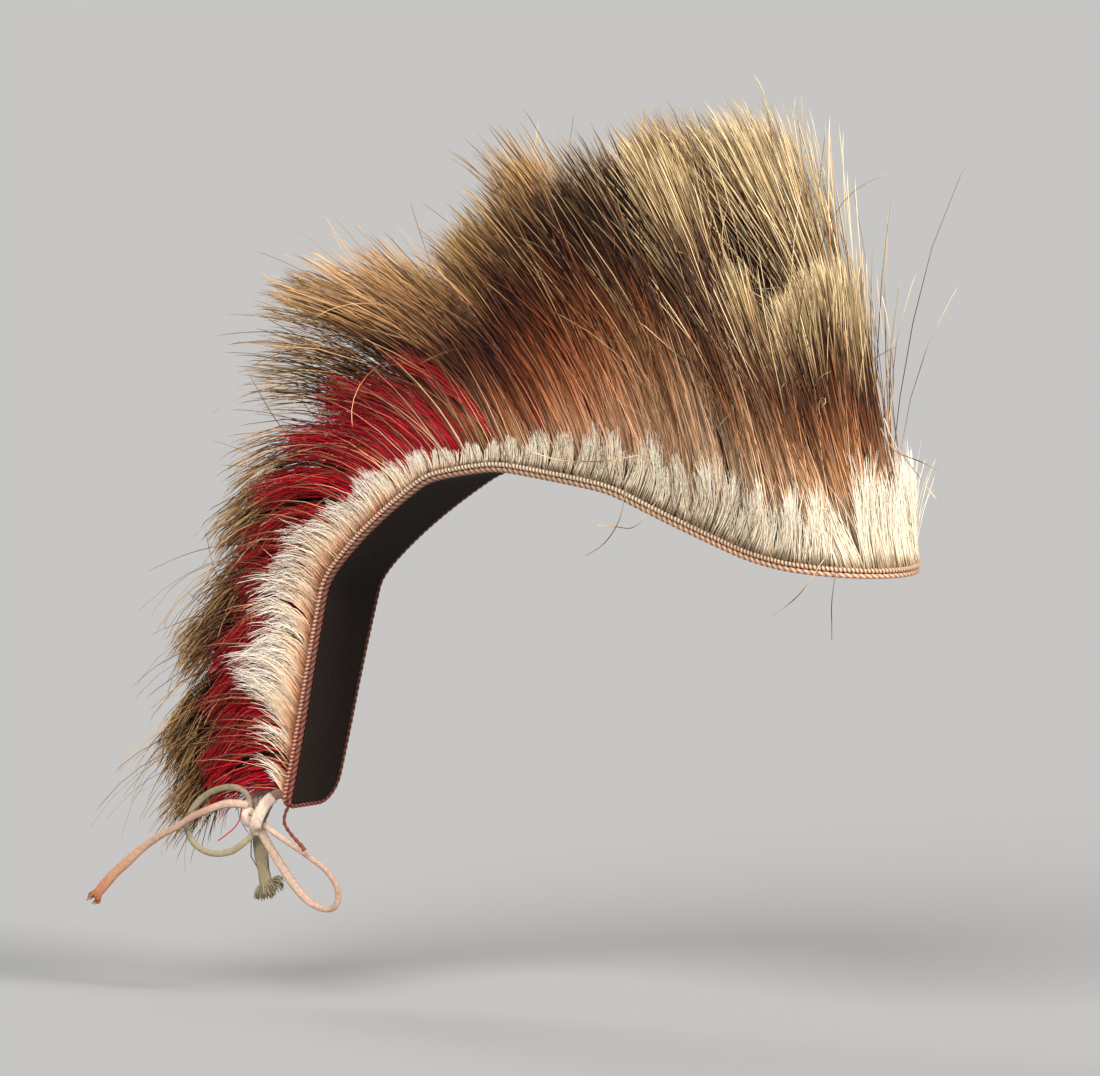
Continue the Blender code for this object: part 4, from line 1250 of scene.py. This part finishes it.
LEAST_FOLD_END = 0.004
FOLDS = ((0.13, 3, 2.4), (0.07, 7, -5.0))  # depth, count and twist

BINDING_STEP = 0.3 * MM
BINDING_PLIES = 2
BINDING_TURNS = 8
BINDING_BULGE = 1.05
BINDING_RELIEF = 0.35
BINDING_FLARE = 0.5
RED_THREAD_RADIUS = 0.00022
RED_THREAD_STEPS = 24
RED_THREAD_SIDES = 6


def squared(wave):
    return np.sign(wave) * np.abs(wave) ** SQUARENESS


def lace_section(count, width, depth, sides=LACE_SIDES):
    """Flattened sections, as wide and deep as given at each point."""
    theta = circle(sides)[None]
    wide = squared(np.cos(theta)) * (width + np.zeros(count))[:, None]
    deep = squared(np.sin(theta)) * (depth + np.zeros(count))[:, None]
    return np.stack([wide, deep], -1)


def rounded_end(t, length, reach):
    """A share of the full width that falls off in a round at the end."""
    close = np.clip((1 - t) * length / reach, 0.0, 1.0)
    return np.sqrt(np.maximum(1 - (1 - close) ** 2, LEAST_END))


def wander(rng, t, points, spread):
    """A slow random change along a lace."""
    return np.interp(t, np.linspace(0, 1, points), rng.normal(0, spread, points))


def lace(rng, made):
    """A lace along its route, uneven in width, with its path and length."""
    path = smooth_route(made.route, LACE_STEP)
    t = np.linspace(0, 1, len(path))
    length = LACE_STEP * (len(path) - 1)
    uneven = 1 + UNEVENNESS * wander(rng, t, UNEVEN_POINTS, 1)
    taper = rounded_end(t, length, made.radius) if made.rounded else np.ones(len(t))
    width = made.radius * LACE_WIDTH * uneven * taper * interpolated(made.widths, t)
    sides = GROOVED_SIDES if made.ridges else LACE_SIDES
    shape = lace_section(len(path), width, made.radius * made.flat * taper, sides)
    theta = circle(sides)
    drift = wander(rng, t, DRIFT_POINTS, DRIFT)[:, None]
    grooves = sum(deep * np.cos(count * theta + turn * drift) for deep, count, turn in GROOVES)
    shape *= (1 + made.ridges * grooves)[..., None]
    name = f"{made.node_name}_lace"
    piece = swept(name, path, shape, made.finish, marks={"along": t[:, None]})
    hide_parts(made.node_name)
    return piece, path, length


def free_lace(rng, made):
    """A lace that hangs from the knot, and its path."""
    piece, path, length = lace(rng, made)
    return path


def frayed_end(rng, fray, path):
    """Fibres that bush out past a lace's cut end, fan degrees apart about a leaning middle."""
    way = unit(path[-1] - path[-1 - FRAY_WAY_STEPS])
    across = unit(np.cross(LACE_FACE, way))
    deep = np.cross(way, across)
    count = fray.fibres
    each = (count, 1, 1)
    place = rng.uniform(-1, 1, count)
    place = np.sign(place) * (fray.cleft + (1 - fray.cleft) * np.abs(place))
    low, high = np.radians(fray.fan)
    open_by = low + (high - low) * (place + 1) / 2 + rng.normal(0, FRAY_SCATTER, count)
    t = (np.arange(FRAY_STEPS) + 0.5) / FRAY_STEPS
    angle = open_by[:, None] * (FRAY_CURVE[0] - FRAY_CURVE[1] * t)
    heading = np.cos(angle)[..., None] * way + np.sin(angle)[..., None] * across
    heading = heading + rng.normal(0, FRAY_DEEP_SCATTER, each) * deep
    long = fray.length * MM * rng.uniform(*FRAY_LENGTHS, each)
    line = np.cumsum(heading / FRAY_STEPS * long, axis=1)
    line = np.concatenate([np.zeros((count, 1, 3)), line], axis=1)
    start = path[-1 - fray.back] + fray.half_width * MM * place[:, None] * across
    start = start + fray.half_depth * MM * rng.uniform(-1, 1, count)[:, None] * deep
    radius = fray.thickness * MM * np.linspace(1, FRAY_TAPER, FRAY_STEPS + 1)[None]
    radius = radius * rng.uniform(*FRAY_THICKNESSES, count)[:, None]
    mark = rng.random(count)
    hairs = Hairs(start[:, None] + line, radius, mark, mark, mark, mark, mark)
    piece = strand_mesh(fray.name, hairs, fray.finish, FRAY_SIDES)
    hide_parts(fray.node_name)


def knot_part(name, path, shape, look, along):
    piece = swept(name, path, shape, look, marks={"along": along})
    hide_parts("tie_knot")


def knot_fold():
    """A small folded ball of lace."""
    height = np.linspace(-1, 1, FOLD_RINGS)[:, None]
    theta = circle(FOLD_SIDES)[None]
    out = np.sqrt(np.maximum(1 - height**2, LEAST_FOLD_END))
    waves = (depth * np.cos(count * theta + twist * height) for depth, count, twist in FOLDS)
    folds = sum(waves, 1.0)
    shape = np.stack([np.cos(theta) * out * folds, np.sin(theta) * out * folds], -1)
    width, depth, half_height = (size * MM for size in KNOT_FOLD_SIZE)
    path = KNOT_MIDDLE + np.array(KNOT_FOLD_MIDDLE) * MM + height * (0, 0, half_height)
    knot_part("knot_fold", path, shape * (width, depth), BRIGHT_LACE, 0.5 + 0.5 * height)


def knot():
    """A few turns of lace with a fold and a crossing over them."""
    turns = np.linspace(0, KNOT_COIL_TURNS * FULL_TURN, KNOT_COIL_POINTS)
    (wide, deep), (ahead, above) = KNOT_COIL_RADII, KNOT_COIL_START
    rise = KNOT_COIL_RISE * turns / FULL_TURN
    coil = KNOT_MIDDLE + MM * np.stack(
        [wide * np.cos(turns) + ahead, deep * np.sin(turns), rise + above], -1
    )
    width, depth = KNOT_COIL_SECTION
    shape = lace_section(len(coil), width * MM, depth * MM)[..., ::-1]
    knot_part("knot_turns", coil, shape, PALE_LACE, np.linspace(0, 1, len(coil))[:, None])
    knot_fold()
    cross = smooth_route(KNOT_CROSSING_ROUTE, LACE_STEP)
    width, depth = KNOT_CROSSING_SECTION
    shape = lace_section(len(cross), width * MM, depth * MM)
    knot_part("knot_crossing", cross, shape, BRIGHT_LACE, np.linspace(0, 1, len(cross))[:, None])


def binding_thread_end():
    """The end of the rust binding thread, twisted of two plies and loose at its tip."""
    path = smooth_route(BINDING_END_ROUTE, BINDING_STEP)
    t = np.linspace(0, 1, len(path))[:, None]
    crest = twisted(BINDING_PLIES, t * FULL_TURN * BINDING_TURNS)
    radius = BINDING_RADIUS * (BINDING_BULGE - BINDING_RELIEF * (1 - crest))
    shape = round_section(radius * (1 + BINDING_FLARE * t**6))
    rust = lace_finish("rust_thread", [(0, 0.1, 0.02, 0.01), (1, 0.17, 0.036, 0.016)])
    piece = swept("binding_thread_end", path, shape, rust, marks={"along": t})
    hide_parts("binding_cord_end")


def red_thread_end():
    path = resampled(curved(np.array(RED_THREAD_ROUTE) * MM), steps=RED_THREAD_STEPS)
    half = np.full(1, 0.5)
    radius = np.full((1, RED_THREAD_STEPS + 1), RED_THREAD_RADIUS)
    thread = Hairs(path[None], radius, half, half, 0 * half, half, half)
    strand_mesh("red_thread_end", thread, RED_FINISH, RED_THREAD_SIDES)


def tie():
    """The lace's bow, ends and straps, the knot, and the ends of the threads."""
    rng = np.random.default_rng(LACE_SEED)
    free_lace(rng, LOOP_BACK)
    free_lace(rng, LOOP_FRONT)
    frayed_end(rng, LONG_FRAY, free_lace(rng, END_LONG))
    frayed_end(rng, SHORT_FRAY, free_lace(rng, END_SHORT))
    for strap in STRAPS:
        lace(rng, strap)
    knot()
    binding_thread_end()
    red_thread_end()


# Stage

Lamp = namedtuple("Lamp", "name across above front strength softness colour")
LAMPS = (
    Lamp("key", 1.15, 0.8, 1.0, 4.5, 16.0, (1.0, 0.97, 0.93)),
    Lamp("fill", -0.4, 0.9, 1.15, 4.6, 34.0, (1.0, 0.98, 0.95)),
    Lamp("back_light", -0.8, 0.9, -1.0, 1.6, 30.0, (1.0, 0.98, 0.96)),
)
FLOOR_DROP = 0.03  # of the floor below the lowest piece
FLOOR_RADIUS = 14.0
FLOOR_SIDES = 48
FLOOR_GREY = (0.27, 0.27, 0.27, 1.0)
SKY_COLOUR = (0.95, 0.97, 1.0, 1.0)
SKY_STRENGTH = 0.27


def view_axes():
    azimuth, elevation = math.radians(VIEW_AZIMUTH), math.radians(VIEW_ELEVATION)
    right = Vector((math.cos(azimuth), math.sin(azimuth), 0.0))
    ahead = Vector((
        -math.sin(azimuth) * math.cos(elevation),
        math.cos(azimuth) * math.cos(elevation),
        -math.sin(elevation),
    ))
    return right, ahead, right.cross(ahead)


def placed(name, data):
    """An object in the scene for a camera or a lamp."""
    made = bpy.data.objects.new(name, data)
    bpy.context.scene.collection.objects.link(made)
    return made


def camera():
    right, ahead, up = view_axes()
    data = bpy.data.cameras.new("camera")
    data.lens = LENS
    data.sensor_width = SENSOR_WIDTH
    made = placed("camera", data)
    middle = right * FRAME_RIGHT + up * FRAME_UP
    made.location = middle - ahead * CAMERA_DISTANCE
    made.rotation_euler = ahead.to_track_quat("-Z", "Y").to_euler()
    bpy.context.scene.camera = made


def sun_light(lamp):
    """A soft lamp far off, whose light comes from a way across, above and in front of the view."""
    right, ahead, _ = view_axes()
    flat = Vector((ahead.x, ahead.y, 0.0)).normalized()
    data = bpy.data.lights.new(lamp.name, "SUN")
    data.energy = lamp.strength
    data.angle = math.radians(lamp.softness)
    data.color = lamp.colour
    source = right * lamp.across + Vector((0, 0, lamp.above)) - flat * lamp.front
    placed(lamp.name, data).rotation_euler = (-source).to_track_quat("-Z", "Y").to_euler()


def stage():
    """A wide pale floor, lamps and an even sky."""
    floor_z = CAD_BOX[0][2] - FLOOR_DROP
    mesh = bpy.data.meshes.new("floor")
    rim = [
        (FLOOR_RADIUS * math.cos(angle), FLOOR_RADIUS * math.sin(angle), floor_z)
        for angle in circle(FLOOR_SIDES)
    ]
    mesh.from_pydata(rim, [], [range(FLOOR_SIDES)])
    made, _, shader = finish("floor", roughness=0.9, specular=0.1)
    shader.inputs["Base Color"].default_value = FLOOR_GREY
    mesh.materials.append(made)
    placed("floor", mesh)
    world = bpy.data.worlds.new("sky")
    world.use_nodes = True
    sky = world.node_tree.nodes["Background"]
    sky.inputs["Color"].default_value = SKY_COLOUR
    sky.inputs["Strength"].default_value = SKY_STRENGTH
    bpy.context.scene.world = world
    for lamp in LAMPS:
        sun_light(lamp)


bpy.context.scene.view_settings.view_transform = "Standard"
camera()
mat()
rims()
tie()
hair_rows()
stray_hairs()
stage()
